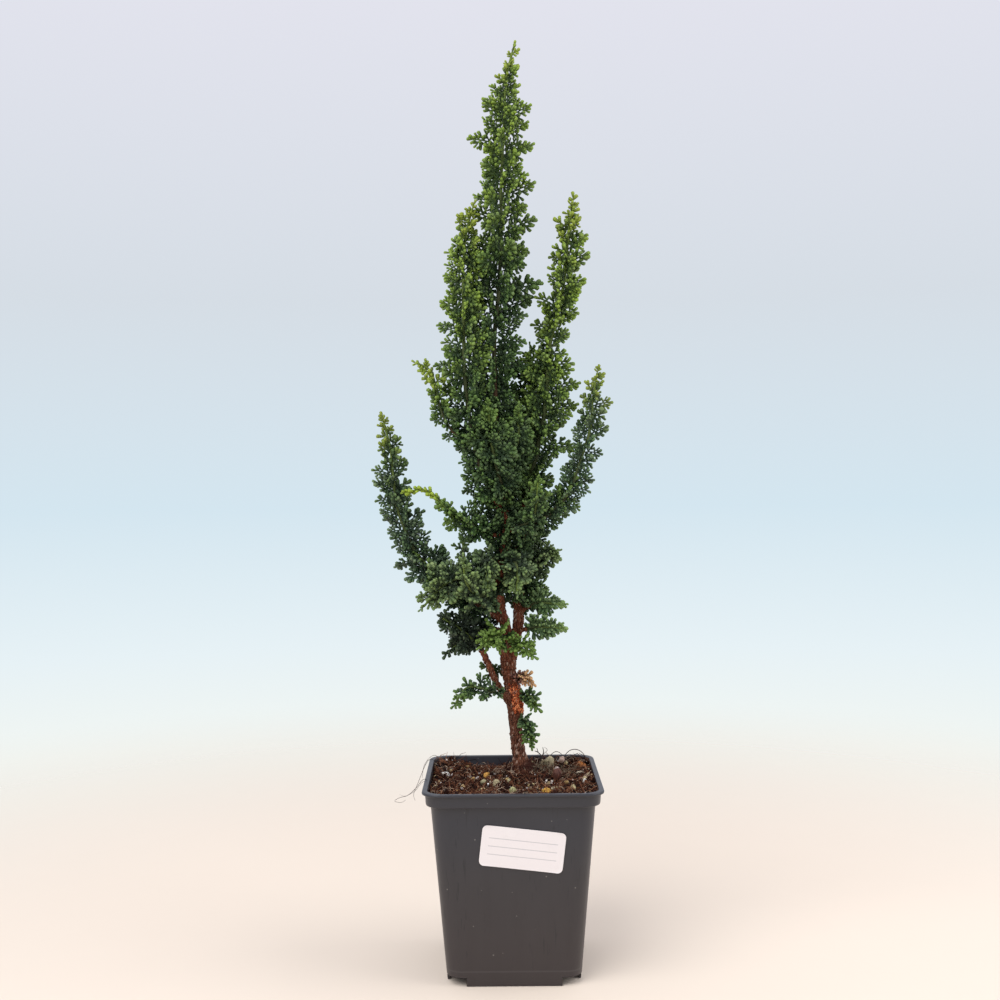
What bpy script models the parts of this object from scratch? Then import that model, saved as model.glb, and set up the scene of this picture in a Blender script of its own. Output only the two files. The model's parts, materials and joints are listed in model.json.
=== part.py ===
# A young hinoki cypress grown upright in a square plastic nursery pot.
# Metres, +Z up. The origin is on the floor, under the middle of the pot; the front of the pot faces -Y.
import math
import random
from dataclasses import dataclass

import bpy
from mathutils import Matrix, Vector
from mathutils.bvhtree import BVHTree

MM = 0.001
GAP = 0.3 * MM

# Pot: a common 11 cm square nursery pot, its half widths measured across the flats
POT_HEIGHT = 120 * MM
RIM_HALF = 55 * MM
RIM_THICK = 1.7 * MM
COLLAR_HALF = 53 * MM
COLLAR_BOTTOM = 111 * MM
BODY_TOP_HALF = 50 * MM
BODY_FOOT_HALF = 41 * MM
WALL = 1.2 * MM
CORNER_TOP = 11 * MM
CORNER_FOOT = 10 * MM
CORNER_STEPS = 3
FLOOR_UNDERSIDE = 6 * MM
SIDE_FOOT_HALF = 29 * MM
CORNER_LIFT = 5.5 * MM
CENTRE_FOOT_RADIUS = 9 * MM
DRAIN_RADIUS = 4.5 * MM
DRAIN_PLACE = 21 * MM
ROUND_SIDES = 12

# Label on the pot's front wall
LABEL_WIDTH = 50.5 * MM
LABEL_HEIGHT = 25 * MM
LABEL_THICK = 0.5 * MM
LABEL_CORNER = 3 * MM
LABEL_CORNER_STEPS = 3
LABEL_X = 5.4 * MM
LABEL_Z = 85.5 * MM
LABEL_TURN = math.radians(-6.7)

# Soil: its level at the wall, the mound round the trunk, and the shares of the way from trunk to wall
SOIL_LEVEL = 112.5 * MM
SOIL_SHOULDER = 2 * MM
SOIL_MOUND = 6.5 * MM
SOIL_MOUND_WIDTH = 22 * MM
SOIL_SLOPE = 1.2 * MM
SOIL_CRUMBS = 0.8 * MM
SOIL_CORNER_STEPS = 2
SOIL_ALONG_SIDE = 4
SOIL_RINGS = (0.985, 0.75, 0.5, 0.25, 0)
SOIL_HOLE_RADIUS = 7.7 * MM

# Trunk: its centre line, and its radius at each height, in millimetres
TRUNK_FOOT = Vector((6, 12, 88)) * MM
TRUNK_ROUTE = (
    (6, 12, 88), (6, 12, 105), (6, 12, 121), (3, 11, 142), (2, 10, 162), (0, 9, 176), (-3, 8, 194),
    (-3, 7, 211), (-7, 5, 227), (-7, 3, 246), (-4, 2, 265), (-3, 1, 285), (-5, 0, 307), (-6, 0, 321),
)
TRUNK_RADII = (
    (88, 6.4), (92, 7.0), (116.5, 7.0), (121, 5.2), (129, 4.2), (145, 3.9), (158, 4.5),
    (170, 4.8), (184, 4.2), (198, 3.5), (211, 3.0), (246, 2.9), (285, 2.5), (321, 2.0),
)
TRUNK_SIDES = 9
TRUNK_STEP = 11 * MM
FLUTES = 3
FLUTE_DEPTH = 0.16
FLUTES_FROM = 116.5 * MM
FLUTES_FADE = 9 * MM

# Brown foot of a shoot, wider where it leaves its stem
FOOT_SIDES = 5
FOOT_STEP = 12 * MM
FOOT_FLARE = 0.25

# Core of a leafy shoot: slim, slightly knobbly, starting just past the brown foot
LEAF_GAP = 0.5 * MM
CORE_SHARE = 0.33
CORE_KNOBS = 0.15
CORE_KNOB_STEP = 4 * MM
CORE_SIDES = 5
CORE_STEP = 14 * MM
CORE_BARE = 3.5 * MM
FIRST_SPRAY = 5.6 * MM
SLIMMEST_CORE = 0.9 * MM
CORE_CLOSES_OVER = 6 * MM
CORE_END = 0.4

# Sprays: their places on a shoot, their lean from it, and their sizes
GOLDEN_ANGLE = math.radians(137.5)
SPRAY_STEP = 5.5 * MM
SPRAY_STEP_SHARE = 0.35
SPRAY_GAP = 0.4 * MM
SPRAY_THICK = 0.14
SPRAY_CUP = 0.5
SPRAY_DROOP = 0.06
LEAN = (math.radians(33), math.radians(45))
ROLL = (0.5, 1.2)
TURNS_TRIED = (0, 0.4, -0.4, 0.8, -0.8)
LENGTHS_TRIED = (1.0, 0.8)
ROOT_SINK = 0.3
FOOT_REACH = 0.65
REACH_SWELL = 3
REACH_NARROWING = 0.75
TIP_REACH = 3.2 * MM
TIP_SPRAY = 7 * MM
TIP_SINK = 2.5 * MM
SHORTEST_SPRAY = 5.5 * MM
TWO_PAIRS_FROM = 9.5 * MM
THREE_PAIRS_FROM = 16 * MM
SPUR_SCALE = 0.6
SPUR_DROP = 8 * MM
SEED = 11

GREEN = (0.045, 0.14, 0.04)
LIGHT_GREEN = (0.12, 0.27, 0.05)
WITHERED = (0.35, 0.15, 0.07)


@dataclass
class Shoot:
    # One leafy branch, in millimetres. It leaves its stem at the height root, is bare brown wood for the
    # length wood, and is leafy beyond. Its sprays stand out to reach from its centre line, and shorten
    # towards the tip over the share taper of its length. A spur is a leafy side branch of its own.
    name: str
    stem: str
    root: float
    wood: float
    foot_radius: float
    reach: float
    taper: float
    route: tuple
    spurs: tuple = ()
    colour: tuple = GREEN


# The upright columns of the crown, the tallest first
COLUMNS = (
    Shoot("leader_shoot", "trunk", root=321, wood=0, foot_radius=2.0, reach=16.5, taper=0.25, route=(
        (-8, 0, 339), (-9, 0, 367), (-9, 0, 396), (-6, 0, 427), (-4, 0, 465), (-4, 0, 490), (-2, 0, 528),
        (0, 0, 560), (4, 0, 577))),
    Shoot("left_column_shoot", "trunk", root=283, wood=9, foot_radius=2.0, reach=14, taper=0.3, route=(
        (-13, -10, 301), (-21, -14, 326), (-27, -15, 363), (-28, -14, 400), (-28, -12, 438), (-26, -12, 460),
        (-22, -12, 476)), spurs=(((-34, -16, 342), (-42, -17, 357), (-47, -17, 370), (-56, -17, 380)),)),
    Shoot("right_column_shoot", "trunk", root=186, wood=108, foot_radius=2.9, reach=15.5, taper=0.22,
          route=((3, 9, 205), (5, 10, 218), (5, 11, 237), (5, 12, 256), (7, 12, 281), (11, 10, 300),
                 (18, 8, 326), (24, 8, 358), (26, 8, 390), (33, 8, 418), (37, 8, 441), (39, 8, 466),
                 (42, 8, 484))),
    Shoot("right_inner_shoot", "right_column_shoot", root=284, wood=8, foot_radius=1.6, reach=11, taper=0.2,
          route=((6, 18, 306), (9, 22, 328), (13, 21, 355), (15, 19, 375), (14, 17, 391))),
    Shoot("far_right_shoot", "right_column_shoot", root=262, wood=12, foot_radius=1.7, reach=9.5, taper=0.25,
          route=((14, 6, 277), (27, 1, 287), (38, 0, 300), (45, 0, 319), (51, 0, 338), (53, 0, 357),
                 (56, 0, 374))),
    Shoot("far_left_shoot", "trunk", root=216, wood=10, foot_radius=1.8, reach=13.5, taper=0.35, route=(
        (-26, 2, 231), (-45, 0, 245), (-59, 0, 260), (-67, 0, 276), (-72, 0, 292), (-74, 0, 311),
        (-76, 0, 330), (-80, 0, 344))),
    Shoot("front_column_shoot", "trunk", root=294, wood=7, foot_radius=1.5, reach=12, taper=0.3, route=(
        (-5, -12, 302), (-9, -20, 318), (-12, -24, 335), (-13, -24, 352))),
    Shoot("back_column_shoot", "trunk", root=262, wood=8, foot_radius=1.8, reach=13, taper=0.3, route=(
        (-2, 14, 278), (-3, 26, 302), (-5, 32, 335), (-6, 34, 366), (-5, 32, 394))),
    Shoot("leader_right_shoot", "trunk", root=307, wood=6, foot_radius=1.1, reach=8, taper=0.4, route=(
        (1, -7, 316), (5, -11, 331), (6, -12, 349))),
)

# The spreading and drooping shoots of the middle of the tree
MIDDLE_SHOOTS = (
    Shoot("lime_shoot", "trunk", root=270, wood=8, foot_radius=1.3, reach=7.5, taper=0.75,
          colour=LIGHT_GREEN, route=(
              (-18, -9, 275), (-26, -16, 281), (-33, -19, 285), (-40, -20, 290), (-47, -20, 297),
              (-53, -20, 301), (-63, -20, 300))),
    Shoot("back_right_shoot", "right_column_shoot", root=241, wood=8, foot_radius=1.5, reach=10, taper=0.45,
          route=((9, 24, 250), (14, 36, 262), (17, 43, 280), (18, 45, 300))),
    Shoot("back_left_shoot", "trunk", root=222, wood=8, foot_radius=1.5, reach=11, taper=0.45, route=(
        (-15, 16, 231), (-24, 31, 241), (-30, 43, 254), (-32, 48, 270))),
    Shoot("front_left_shoot", "trunk", root=231, wood=8, foot_radius=1.4, reach=10, taper=0.45, route=(
        (-13, -9, 234), (-21, -24, 236), (-27, -34, 244), (-29, -38, 257))),
    Shoot("front_right_shoot", "trunk", root=273, wood=7, foot_radius=1.4, reach=9.5, taper=0.45, route=(
        (4, -9, 277), (12, -20, 281), (16, -28, 291), (17, -31, 305))),
    Shoot("left_front_shoot", "trunk", root=240, wood=8, foot_radius=1.5, reach=13, taper=0.35, route=(
        (-17, -4, 244), (-30, -12, 246), (-42, -19, 243), (-52, -22, 235))),
    Shoot("right_middle_shoot", "right_column_shoot", root=243, wood=7, foot_radius=1.3, reach=11, taper=0.4,
          route=((15, 6, 252), (29, 6, 260))),
    Shoot("right_back_shoot", "right_column_shoot", root=231, wood=7, foot_radius=1.3, reach=10, taper=0.4,
          route=((14, 20, 238), (26, 24, 236))),
    Shoot("right_upper_shoot", "right_column_shoot", root=221, wood=7, foot_radius=1.2, reach=8, taper=0.7,
          route=((16, 6, 228), (32, 4, 227))),
    Shoot("right_lower_shoot", "right_column_shoot", root=209, wood=7, foot_radius=1.1, reach=8, taper=0.7,
          route=((15, 1, 213), (32, -4, 213))),
    Shoot("front_drooping_left_shoot", "trunk", root=254, wood=7, foot_radius=1.2, reach=11, taper=0.35,
          route=((-10, -8, 258), (-14, -18, 253), (-15, -24, 240))),
    Shoot("front_drooping_right_shoot", "trunk", root=252, wood=7, foot_radius=1.2, reach=10, taper=0.35,
          route=((1, -7, 256), (4, -17, 252), (4, -22, 238))),
)

# The low shoots over the bare trunk
LOW_SHOOTS = (
    Shoot("low_left_branch_shoot", "trunk", root=158, wood=46, foot_radius=1.6, reach=13, taper=0.3, route=(
        (-3, 8, 166), (-10, 6, 178), (-15, 4, 190), (-20, 2, 200), (-30, -3, 211), (-43, -7, 220))),
    Shoot("left_drooping_shoot", "trunk", root=208, wood=8, foot_radius=1.4, reach=10, taper=0.5, route=(
        (-14, 13, 211), (-27, 17, 206), (-40, 17, 196))),
    Shoot("low_front_left_shoot", "trunk", root=205, wood=7, foot_radius=1.1, reach=10, taper=0.3,
          colour=LIGHT_GREEN, route=((-6, -3, 208), (-12, -14, 209), (-17, -20, 206))),
    Shoot("low_front_right_shoot", "trunk", root=200, wood=7, foot_radius=1.1, reach=9, taper=0.3, route=(
        (4, -2, 203), (11, -9, 204), (18, -12, 201))),
    Shoot("low_left_twig_shoot", "trunk", root=164, wood=15, foot_radius=1.1, reach=7.5, taper=0.25, route=(
        (-7, -1, 171), (-15, -7, 174), (-23, -9, 177), (-30, -9, 175), (-35, -9, 167))),
    Shoot("low_back_shoot", "trunk", root=178, wood=8, foot_radius=1.1, reach=7.5, taper=0.3, route=(
        (-6, 15, 183), (-15, 20, 185))),
    Shoot("low_right_shoot", "trunk", root=163, wood=6.5, foot_radius=1.1, reach=6.5, taper=0.2, route=(
        (8, 6, 168), (14, 2, 170), (18, 0, 165))),
    Shoot("withered_shoot", "trunk", root=174, wood=6, foot_radius=1.0, reach=5, taper=0.2, colour=WITHERED,
          route=((6, 4, 180), (12, 0, 182), (17, -1, 178))),
    Shoot("lowest_right_shoot", "trunk", root=146, wood=9, foot_radius=1.0, reach=6, taper=0.2, route=(
        (9, 6, 154), (14, 2, 152), (14, 0, 140))),
)
SHOOTS = COLUMNS + MIDDLE_SHOOTS + LOW_SHOOTS


def clear_scene():
    for old in list(bpy.data.objects):
        bpy.data.objects.remove(old)


def material(name, colour, roughness):
    made = bpy.data.materials.new(name)
    made.use_nodes = True
    shader = made.node_tree.nodes["Principled BSDF"]
    shader.inputs["Base Color"].default_value = (*colour, 1)
    shader.inputs["Roughness"].default_value = roughness
    shader.inputs["Metallic"].default_value = 0
    made.diffuse_color = (*colour, 1)
    return made


def mesh_object(name, shape, finish=None):
    points, faces = shape
    mesh = bpy.data.meshes.new(name)
    mesh.from_pydata([tuple(p) for p in points], [], faces)
    obj = bpy.data.objects.new(name, mesh)
    bpy.context.scene.collection.objects.link(obj)
    if finish:
        mesh.materials.append(finish)
    return obj


def shade_round(obj):
    obj.data.shade_smooth()
    obj.data.set_sharp_from_angle(angle=math.radians(38))


def combine(body, shapes, operation="UNION"):
    # One Boolean on a collection of the shapes, applied to the body; the collection's objects are removed
    group = bpy.data.collections.new(body.name + "_pieces")
    bpy.context.scene.collection.children.link(group)
    for i, shape in enumerate(shapes):
        piece = mesh_object(f"{body.name}_piece_{i}", shape)
        bpy.context.scene.collection.objects.unlink(piece)
        group.objects.link(piece)
    boolean = body.modifiers.new("Combine", "BOOLEAN")
    boolean.operation = operation
    boolean.operand_type = "COLLECTION"
    boolean.collection = group
    boolean.solver = "EXACT"
    bpy.context.view_layer.update()
    combined = bpy.data.meshes.new_from_object(body.evaluated_get(bpy.context.evaluated_depsgraph_get()))
    body.modifiers.clear()
    body.data = combined
    for piece in list(group.objects):
        bpy.data.objects.remove(piece)
    bpy.data.collections.remove(group)


# Paths and tubes

def smooth_path(points, step=1.5 * MM):
    # A Catmull-Rom curve through the points, sampled about every step
    ends = [points[0] * 2 - points[1], *points, points[-1] * 2 - points[-2]]
    samples = []
    for a, b, c, d in zip(ends, ends[1:], ends[2:], ends[3:]):
        count = max(2, round((c - b).length / step))
        for i in range(count):
            t = i / count
            samples.append(0.5 * (2 * b + (c - a) * t + (2 * a - 5 * b + 4 * c - d) * t * t
                                  + (3 * b - a - 3 * c + d) * t ** 3))
    return samples + [points[-1].copy()]


def lengths_along(path):
    total = [0.0]
    for a, b in zip(path, path[1:]):
        total.append(total[-1] + (b - a).length)
    return total


def place_along(path, total, distance):
    # The point and direction at a distance along the path
    for i in range(len(path) - 1):
        if distance <= total[i + 1] or i == len(path) - 2:
            share = (distance - total[i]) / (total[i + 1] - total[i])
            return path[i].lerp(path[i + 1], share), (path[i + 1] - path[i]).normalized()


def at_height(path, height):
    for a, b in zip(path, path[1:]):
        if a.z <= height <= b.z:
            return a.lerp(b, (height - a.z) / (b.z - a.z))
    return path[-1].copy()


def interpolate(table, value):
    for (a, u), (b, v) in zip(table, table[1:]):
        if value <= b:
            return u + (v - u) * max(0.0, value - a) / (b - a)
    return table[-1][1]


def side_of(direction):
    # A steady direction square to this one
    across = Vector((0, 0, 1)) if abs(direction.z) < 0.9 else Vector((1, 0, 0))
    return direction.cross(across).normalized()


def tube(path, distances, radius_at, sides):
    # A closed tube through the places at these distances; radius_at(distance, angle) gives its radius
    total = lengths_along(path)
    points, faces = [], []
    side = None
    for distance in distances:
        centre, direction = place_along(path, total, distance)
        side = side_of(direction) if side is None else (side - direction * side.dot(direction)).normalized()
        up = direction.cross(side)
        for k in range(sides):
            angle = math.tau * k / sides
            ray = side * math.cos(angle) + up * math.sin(angle)
            points.append(centre + ray * radius_at(distance, angle))
    for i in range(len(distances) - 1):
        for k in range(sides):
            n = (k + 1) % sides
            faces.append((i * sides + k, i * sides + n, (i + 1) * sides + n, (i + 1) * sides + k))
    faces.append(tuple(reversed(range(sides))))
    faces.append(tuple(range((len(distances) - 1) * sides, len(distances) * sides)))
    return points, faces


def spaced(start, end, step):
    count = max(1, round((end - start) / step))
    return [start + (end - start) * i / count for i in range(count + 1)]


# Pot

def rounded_square(half, corner, height, steps=CORNER_STEPS, along_side=0):
    # A level ring round the axis: a corner arc of so many steps, then so many points along the next side
    straight = half - corner
    quarter = []
    for i in range(steps + 1):
        angle = math.pi / 2 * i / steps
        arc = Vector((math.cos(angle), math.sin(angle), 0)) * corner
        quarter.append(Vector((straight, straight, height)) + arc)
    for i in range(along_side):
        quarter.append(Vector((straight * (1 - 2 * (i + 1) / (along_side + 1)), half, height)))
    return [Matrix.Rotation(math.pi / 2 * k, 3, "Z") @ p for k in range(4) for p in quarter]


def loft(rings):
    # Rings with the same number of points, joined in order and capped at both ends
    count = len(rings[0])
    points = [p for ring in rings for p in ring]
    faces = [tuple(reversed(range(count)))]
    for i in range(len(rings) - 1):
        for k in range(count):
            n = (k + 1) % count
            faces.append((i * count + k, i * count + n, (i + 1) * count + n, (i + 1) * count + k))
    faces.append(tuple(range((len(rings) - 1) * count, len(rings) * count)))
    return points, faces


def body_half(height):
    # Half the pot's outer width at a height below the collar
    return BODY_FOOT_HALF + (BODY_TOP_HALF - BODY_FOOT_HALF) * height / COLLAR_BOTTOM


def cylinder(x, y, radius, bottom, top):
    rings = []
    for height in (bottom, top):
        angles = [math.tau * k / ROUND_SIDES for k in range(ROUND_SIDES)]
        rings.append([Vector((x + radius * math.cos(a), y + radius * math.sin(a), height)) for a in angles])
    return loft(rings)


def box(low, high):
    corners = [(low[0], low[1]), (high[0], low[1]), (high[0], high[1]), (low[0], high[1])]
    return loft([[Vector((x, y, z)) for x, y in corners] for z in (low[2], high[2])])


def make_pot():
    plastic = material("black_plastic", (0.035, 0.037, 0.042), 0.42)
    floor_top = FLOOR_UNDERSIDE + WALL
    inner_collar = COLLAR_HALF - WALL
    shoulder = COLLAR_BOTTOM + WALL
    profile = (
        (body_half(FLOOR_UNDERSIDE) - WALL, CORNER_FOOT - WALL, FLOOR_UNDERSIDE),
        (BODY_FOOT_HALF - WALL, CORNER_FOOT - WALL, 0),
        (BODY_FOOT_HALF, CORNER_FOOT, 0),
        (BODY_TOP_HALF, CORNER_TOP, COLLAR_BOTTOM),
        (COLLAR_HALF, CORNER_TOP, COLLAR_BOTTOM),
        (COLLAR_HALF, CORNER_TOP, POT_HEIGHT - RIM_THICK),
        (RIM_HALF, CORNER_TOP, POT_HEIGHT - RIM_THICK),
        (RIM_HALF, CORNER_TOP, POT_HEIGHT),
        (inner_collar, CORNER_TOP - WALL, POT_HEIGHT),
        (inner_collar, CORNER_TOP - WALL, shoulder),
        (body_half(COLLAR_BOTTOM) - WALL, CORNER_TOP - WALL, shoulder),
        (body_half(floor_top) - WALL, CORNER_FOOT - WALL, floor_top),
    )
    pot = mesh_object("pot", loft([rounded_square(*row) for row in profile]), plastic)
    combine(pot, [cylinder(0, 0, CENTRE_FOOT_RADIUS, 0, FLOOR_UNDERSIDE + WALL / 2)])
    cuts = []
    for i in (-1, 1):
        for j in (-1, 1):
            x = sorted((i * SIDE_FOOT_HALF, i * RIM_HALF))
            y = sorted((j * SIDE_FOOT_HALF, j * RIM_HALF))
            cuts.append(box((x[0], y[0], -FLOOR_UNDERSIDE), (x[1], y[1], CORNER_LIFT)))
            cuts.append(cylinder(i * DRAIN_PLACE, j * DRAIN_PLACE, DRAIN_RADIUS, 0, 2 * FLOOR_UNDERSIDE))
    combine(pot, cuts, "DIFFERENCE")
    shade_round(pot)
    return pot


# Label

def make_label():
    paper = material("white_paper", (0.85, 0.83, 0.84), 0.5)
    half_width = LABEL_WIDTH / 2 - LABEL_CORNER
    half_height = LABEL_HEIGHT / 2 - LABEL_CORNER
    ring = []
    for quarter, (across, up) in enumerate(((1, 1), (-1, 1), (-1, -1), (1, -1))):
        corner = Vector((across * half_width, up * half_height, 0))
        for i in range(LABEL_CORNER_STEPS + 1):
            angle = math.pi / 2 * (quarter + i / LABEL_CORNER_STEPS)
            ring.append(corner + Vector((math.cos(angle), math.sin(angle), 0)) * LABEL_CORNER)
    front = [p + Vector((0, 0, LABEL_THICK)) for p in ring]
    label = mesh_object("label", loft([ring, front]), paper)
    lean = math.atan((BODY_TOP_HALF - BODY_FOOT_HALF) / COLLAR_BOTTOM)
    stand = Matrix.Rotation(math.pi / 2 + lean, 4, "X")
    label.rotation_euler = (stand @ Matrix.Rotation(LABEL_TURN, 4, "Z")).to_euler()
    label.location = (LABEL_X, -body_half(LABEL_Z) - GAP / math.cos(lean), LABEL_Z)


# Soil

def soil_height(x, y):
    away = math.hypot(x - TRUNK_FOOT.x, y - TRUNK_FOOT.y)
    mound = SOIL_MOUND * math.exp(-(away / SOIL_MOUND_WIDTH) ** 2)
    slope = SOIL_SLOPE * (x - y) / RIM_HALF
    u, v = x / MM, y / MM
    crumbs = math.sin(0.31 * u + 1.2) * math.cos(0.27 * v) + 0.75 * math.sin(0.53 * u - 0.41 * v)
    return SOIL_LEVEL + mound + slope + crumbs * SOIL_CRUMBS


def make_soil():
    peat = material("peat_soil", (0.055, 0.025, 0.016), 0.95)
    floor_top = FLOOR_UNDERSIDE + WALL
    shoulder = COLLAR_BOTTOM - SOIL_SHOULDER

    def inside(height, corner):
        half = body_half(height) - WALL - GAP
        return rounded_square(half, corner + WALL, height, SOIL_CORNER_STEPS, SOIL_ALONG_SIDE)

    edge = inside(shoulder, CORNER_TOP - WALL)
    hole = []
    for p in edge:
        ray = Vector((p.x - TRUNK_FOOT.x, p.y - TRUNK_FOOT.y, 0)).normalized()
        hole.append(TRUNK_FOOT.xy.to_3d() + ray * SOIL_HOLE_RADIUS)
    rings = [inside(floor_top + GAP, CORNER_FOOT - WALL), edge]
    for share in SOIL_RINGS:
        ring = []
        for outer, inner in zip(edge, hole):
            p = inner.lerp(outer, share)
            ring.append(Vector((p.x, p.y, soil_height(p.x, p.y))))
        rings.append(ring)
    rings.append([Vector((p.x, p.y, TRUNK_FOOT.z - GAP)) for p in hole])
    soil = mesh_object("soil", loft(rings), peat)
    shade_round(soil)
    return soil


# Wood: the trunk, the right-hand stem and the brown foot of every leafy shoot

def routes():
    # The centre line of the trunk and of every shoot, from the axis of the stem that it leaves
    found = {"trunk": smooth_path([Vector(p) * MM for p in TRUNK_ROUTE])}
    for shoot in SHOOTS:
        start = at_height(found[shoot.stem], shoot.root * MM)
        found[shoot.name] = smooth_path([start] + [Vector(p) * MM for p in shoot.route])
    return found


def trunk_radius(path):
    total = lengths_along(path)

    def radius(distance, angle):
        height = place_along(path, total, distance)[0].z
        above = height - FLUTES_FROM
        flute = FLUTE_DEPTH * math.exp(-above / FLUTES_FADE) if above > 0 else 0
        hollow = flute * (0.5 + 0.5 * math.cos(FLUTES * angle))
        return interpolate(TRUNK_RADII, height / MM) * MM * (1 - hollow)
    return radius


def foot_shape(shoot, path):
    wood = shoot.wood * MM

    def radius(distance, angle):
        return shoot.foot_radius * MM * (1 + FOOT_FLARE * (1 - distance / wood))
    return tube(path, spaced(0, wood, FOOT_STEP), radius, FOOT_SIDES)


def make_wood(paths):
    bark = material("red_brown_bark", (0.20, 0.065, 0.03), 0.9)
    path = paths["trunk"]
    stops = spaced(0, lengths_along(path)[-1], TRUNK_STEP)
    wood = mesh_object("trunk_and_branches", tube(path, stops, trunk_radius(path), TRUNK_SIDES), bark)
    combine(wood, [foot_shape(shoot, paths[shoot.name]) for shoot in SHOOTS if shoot.wood])
    shade_round(wood)
    return wood


# Leafy shoots

def spray_shape(pairs):
    # A hinoki spray in unit size: a flat fan along +X on a slim pointed stalk, with short blunt branchlets,
    # raised along its middle, thin at its edge and flat below. Returns its points and faces.
    points, faces = [], []

    def point(x, y, z=0.0):
        points.append(Vector((x, y, z)))
        return len(points) - 1

    root = point(0, 0)
    notches = {1: [point(0.22, 0.06)], -1: [point(0.22, -0.06)]}
    hub = point(0.3, 0, 0.9)
    faces += [(root, notches[-1][0], hub), (root, hub, notches[1][0]), (root, notches[1][0], notches[-1][0])]
    spacing = 0.48 / pairs
    half_width = {1: 0.13, 2: 0.10, 3: 0.075}[pairs]
    for k in range(pairs):
        foot = Vector((0.22 + spacing * k, 0, 0))
        if k:
            last_hub, hub = hub, point(foot.x + 0.10, 0, 1.0)
        length = (0.58, 0.56, 0.44)[k] if pairs == 3 else 0.56 - 0.08 * k
        angle = math.radians(58 - 10 * k)
        for way in (1, -1):
            along = Vector((math.cos(angle), way * math.sin(angle), 0))
            across = Vector((-along.y, along.x, 0)) * way
            end = foot + along * length
            outer = point(*(end + across * half_width).xy, 0.2)
            inner = point(*(end - across * half_width + along * 0.02).xy, 0.2)
            notch = point(foot.x + spacing * 0.7 + 0.07, way * 0.075)
            last = notches[way][-1]
            lobe = [(last, outer, hub), (outer, inner, hub), (inner, notch, hub), (last, inner, outer),
                    (last, notch, inner)]
            if k:
                lobe.append((last, hub, last_hub))
            faces += [f if way < 0 else f[::-1] for f in lobe]
            notches[way].append(notch)
        (left_before, left), (right_before, right) = notches[1][-2:], notches[-1][-2:]
        faces += [(left_before, left, right), (left_before, right, right_before)]
    up, down = notches[1][-1], notches[-1][-1]
    left, right = point(0.985, half_width, 0.2), point(0.985, -half_width, 0.2)
    faces += [(up, hub, left), (left, hub, right), (right, hub, down), (up, left, right), (up, right, down)]
    return points, faces


SPRAYS = {pairs: spray_shape(pairs) for pairs in (1, 2, 3)}


def spray(root, direction, normal, length, pairs, droop):
    # A spray from root along direction, its flat face square to normal, with its end bent down by droop
    points, faces = SPRAYS[pairs]
    across = normal.cross(direction).normalized()
    up = direction.cross(across).normalized()
    thick = SPRAY_THICK * length
    placed = []
    for p in points:
        sag = droop * length * p.x * p.x
        cup = SPRAY_CUP * length * p.y * p.y
        placed.append(root + direction * p.x * length + across * p.y * length
                      + up * (p.z * thick - cup) - Vector((0, 0, sag)))
    return placed, faces


class Stem:
    # The leafy length of a shoot, or of a spur on it: its slim core and the places of its sprays, both on
    # straight runs between points of the shoot's curve
    def __init__(self, shoot, curve, start, scale=1.0):
        self.shoot = shoot
        self.scale = scale
        self.curve = curve
        along = lengths_along(curve)
        self.stops = [start, start + CORE_BARE] + spaced(start + 2 * CORE_BARE, along[-1], CORE_STEP)
        self.path = [place_along(curve, along, stop)[0] for stop in self.stops]
        self.total = lengths_along(self.path)
        self.length = self.total[-1]

    def reach(self, distance):
        # How far the sprays reach out there: swelling at the foot of the stem, narrowing to its tip
        share = distance / self.length
        swell = min(1.0, FOOT_REACH + REACH_SWELL * share)
        narrow = min(1.0, max(0.0, 1 - share) / self.shoot.taper) ** REACH_NARROWING
        return max(TIP_REACH, self.shoot.reach * MM * self.scale * swell * narrow)

    def core_radius(self, distance):
        if distance < 1.5 * CORE_BARE:
            return self.shoot.foot_radius * MM * self.scale
        knob = 1 + CORE_KNOBS * math.sin(distance / CORE_KNOB_STEP)
        closing = min(1.0, CORE_END + (self.length - distance) / CORE_CLOSES_OVER)
        return max(SLIMMEST_CORE, CORE_SHARE * self.reach(distance) * knob) * closing

    def core(self):
        def radius(distance, angle):
            return self.core_radius(distance - self.stops[0])
        return tube(self.curve, self.stops, radius, CORE_SIDES)

    def stations(self):
        # Distances along the stem at which a spray stands, closer where the sprays are short
        distance = FIRST_SPRAY
        found = []
        while distance < self.length - TIP_SINK:
            found.append(distance)
            distance += SPRAY_STEP + SPRAY_STEP_SHARE * self.reach(distance)
        return found


def tree_of(shape):
    return BVHTree.FromPolygons([tuple(p) for p in shape[0]], shape[1])


def near_boxes(a, b, margin):
    return all(a[0][i] - margin < b[1][i] and b[0][i] - margin < a[1][i] for i in range(3))


def bounds_of(points):
    return ([min(p[i] for p in points) for i in range(3)], [max(p[i] for p in points) for i in range(3)])


class Occupied:
    # What already stands somewhere, and whose it is, so that a spray is bent or cut clear of it
    def __init__(self):
        self.taken = []

    def add(self, owner, shape, is_core=False):
        self.taken.append((owner, is_core, shape[0], tree_of(shape), bounds_of(shape[0])))

    def is_clear(self, owner, shape):
        bounds = bounds_of(shape[0])
        tree = tree_of(shape)
        for other, is_core, points, other_tree, other_bounds in self.taken:
            own_core = other == owner and is_core
            if own_core or not near_boxes(bounds, other_bounds, SPRAY_GAP):
                continue
            if tree.overlap(other_tree):
                return False
            if other == owner:
                continue
            if any(other_tree.find_nearest(p, SPRAY_GAP)[0] for p in shape[0]):
                return False
            if any(tree.find_nearest(p, SPRAY_GAP)[0] for p in points):
                return False
        return True


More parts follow.
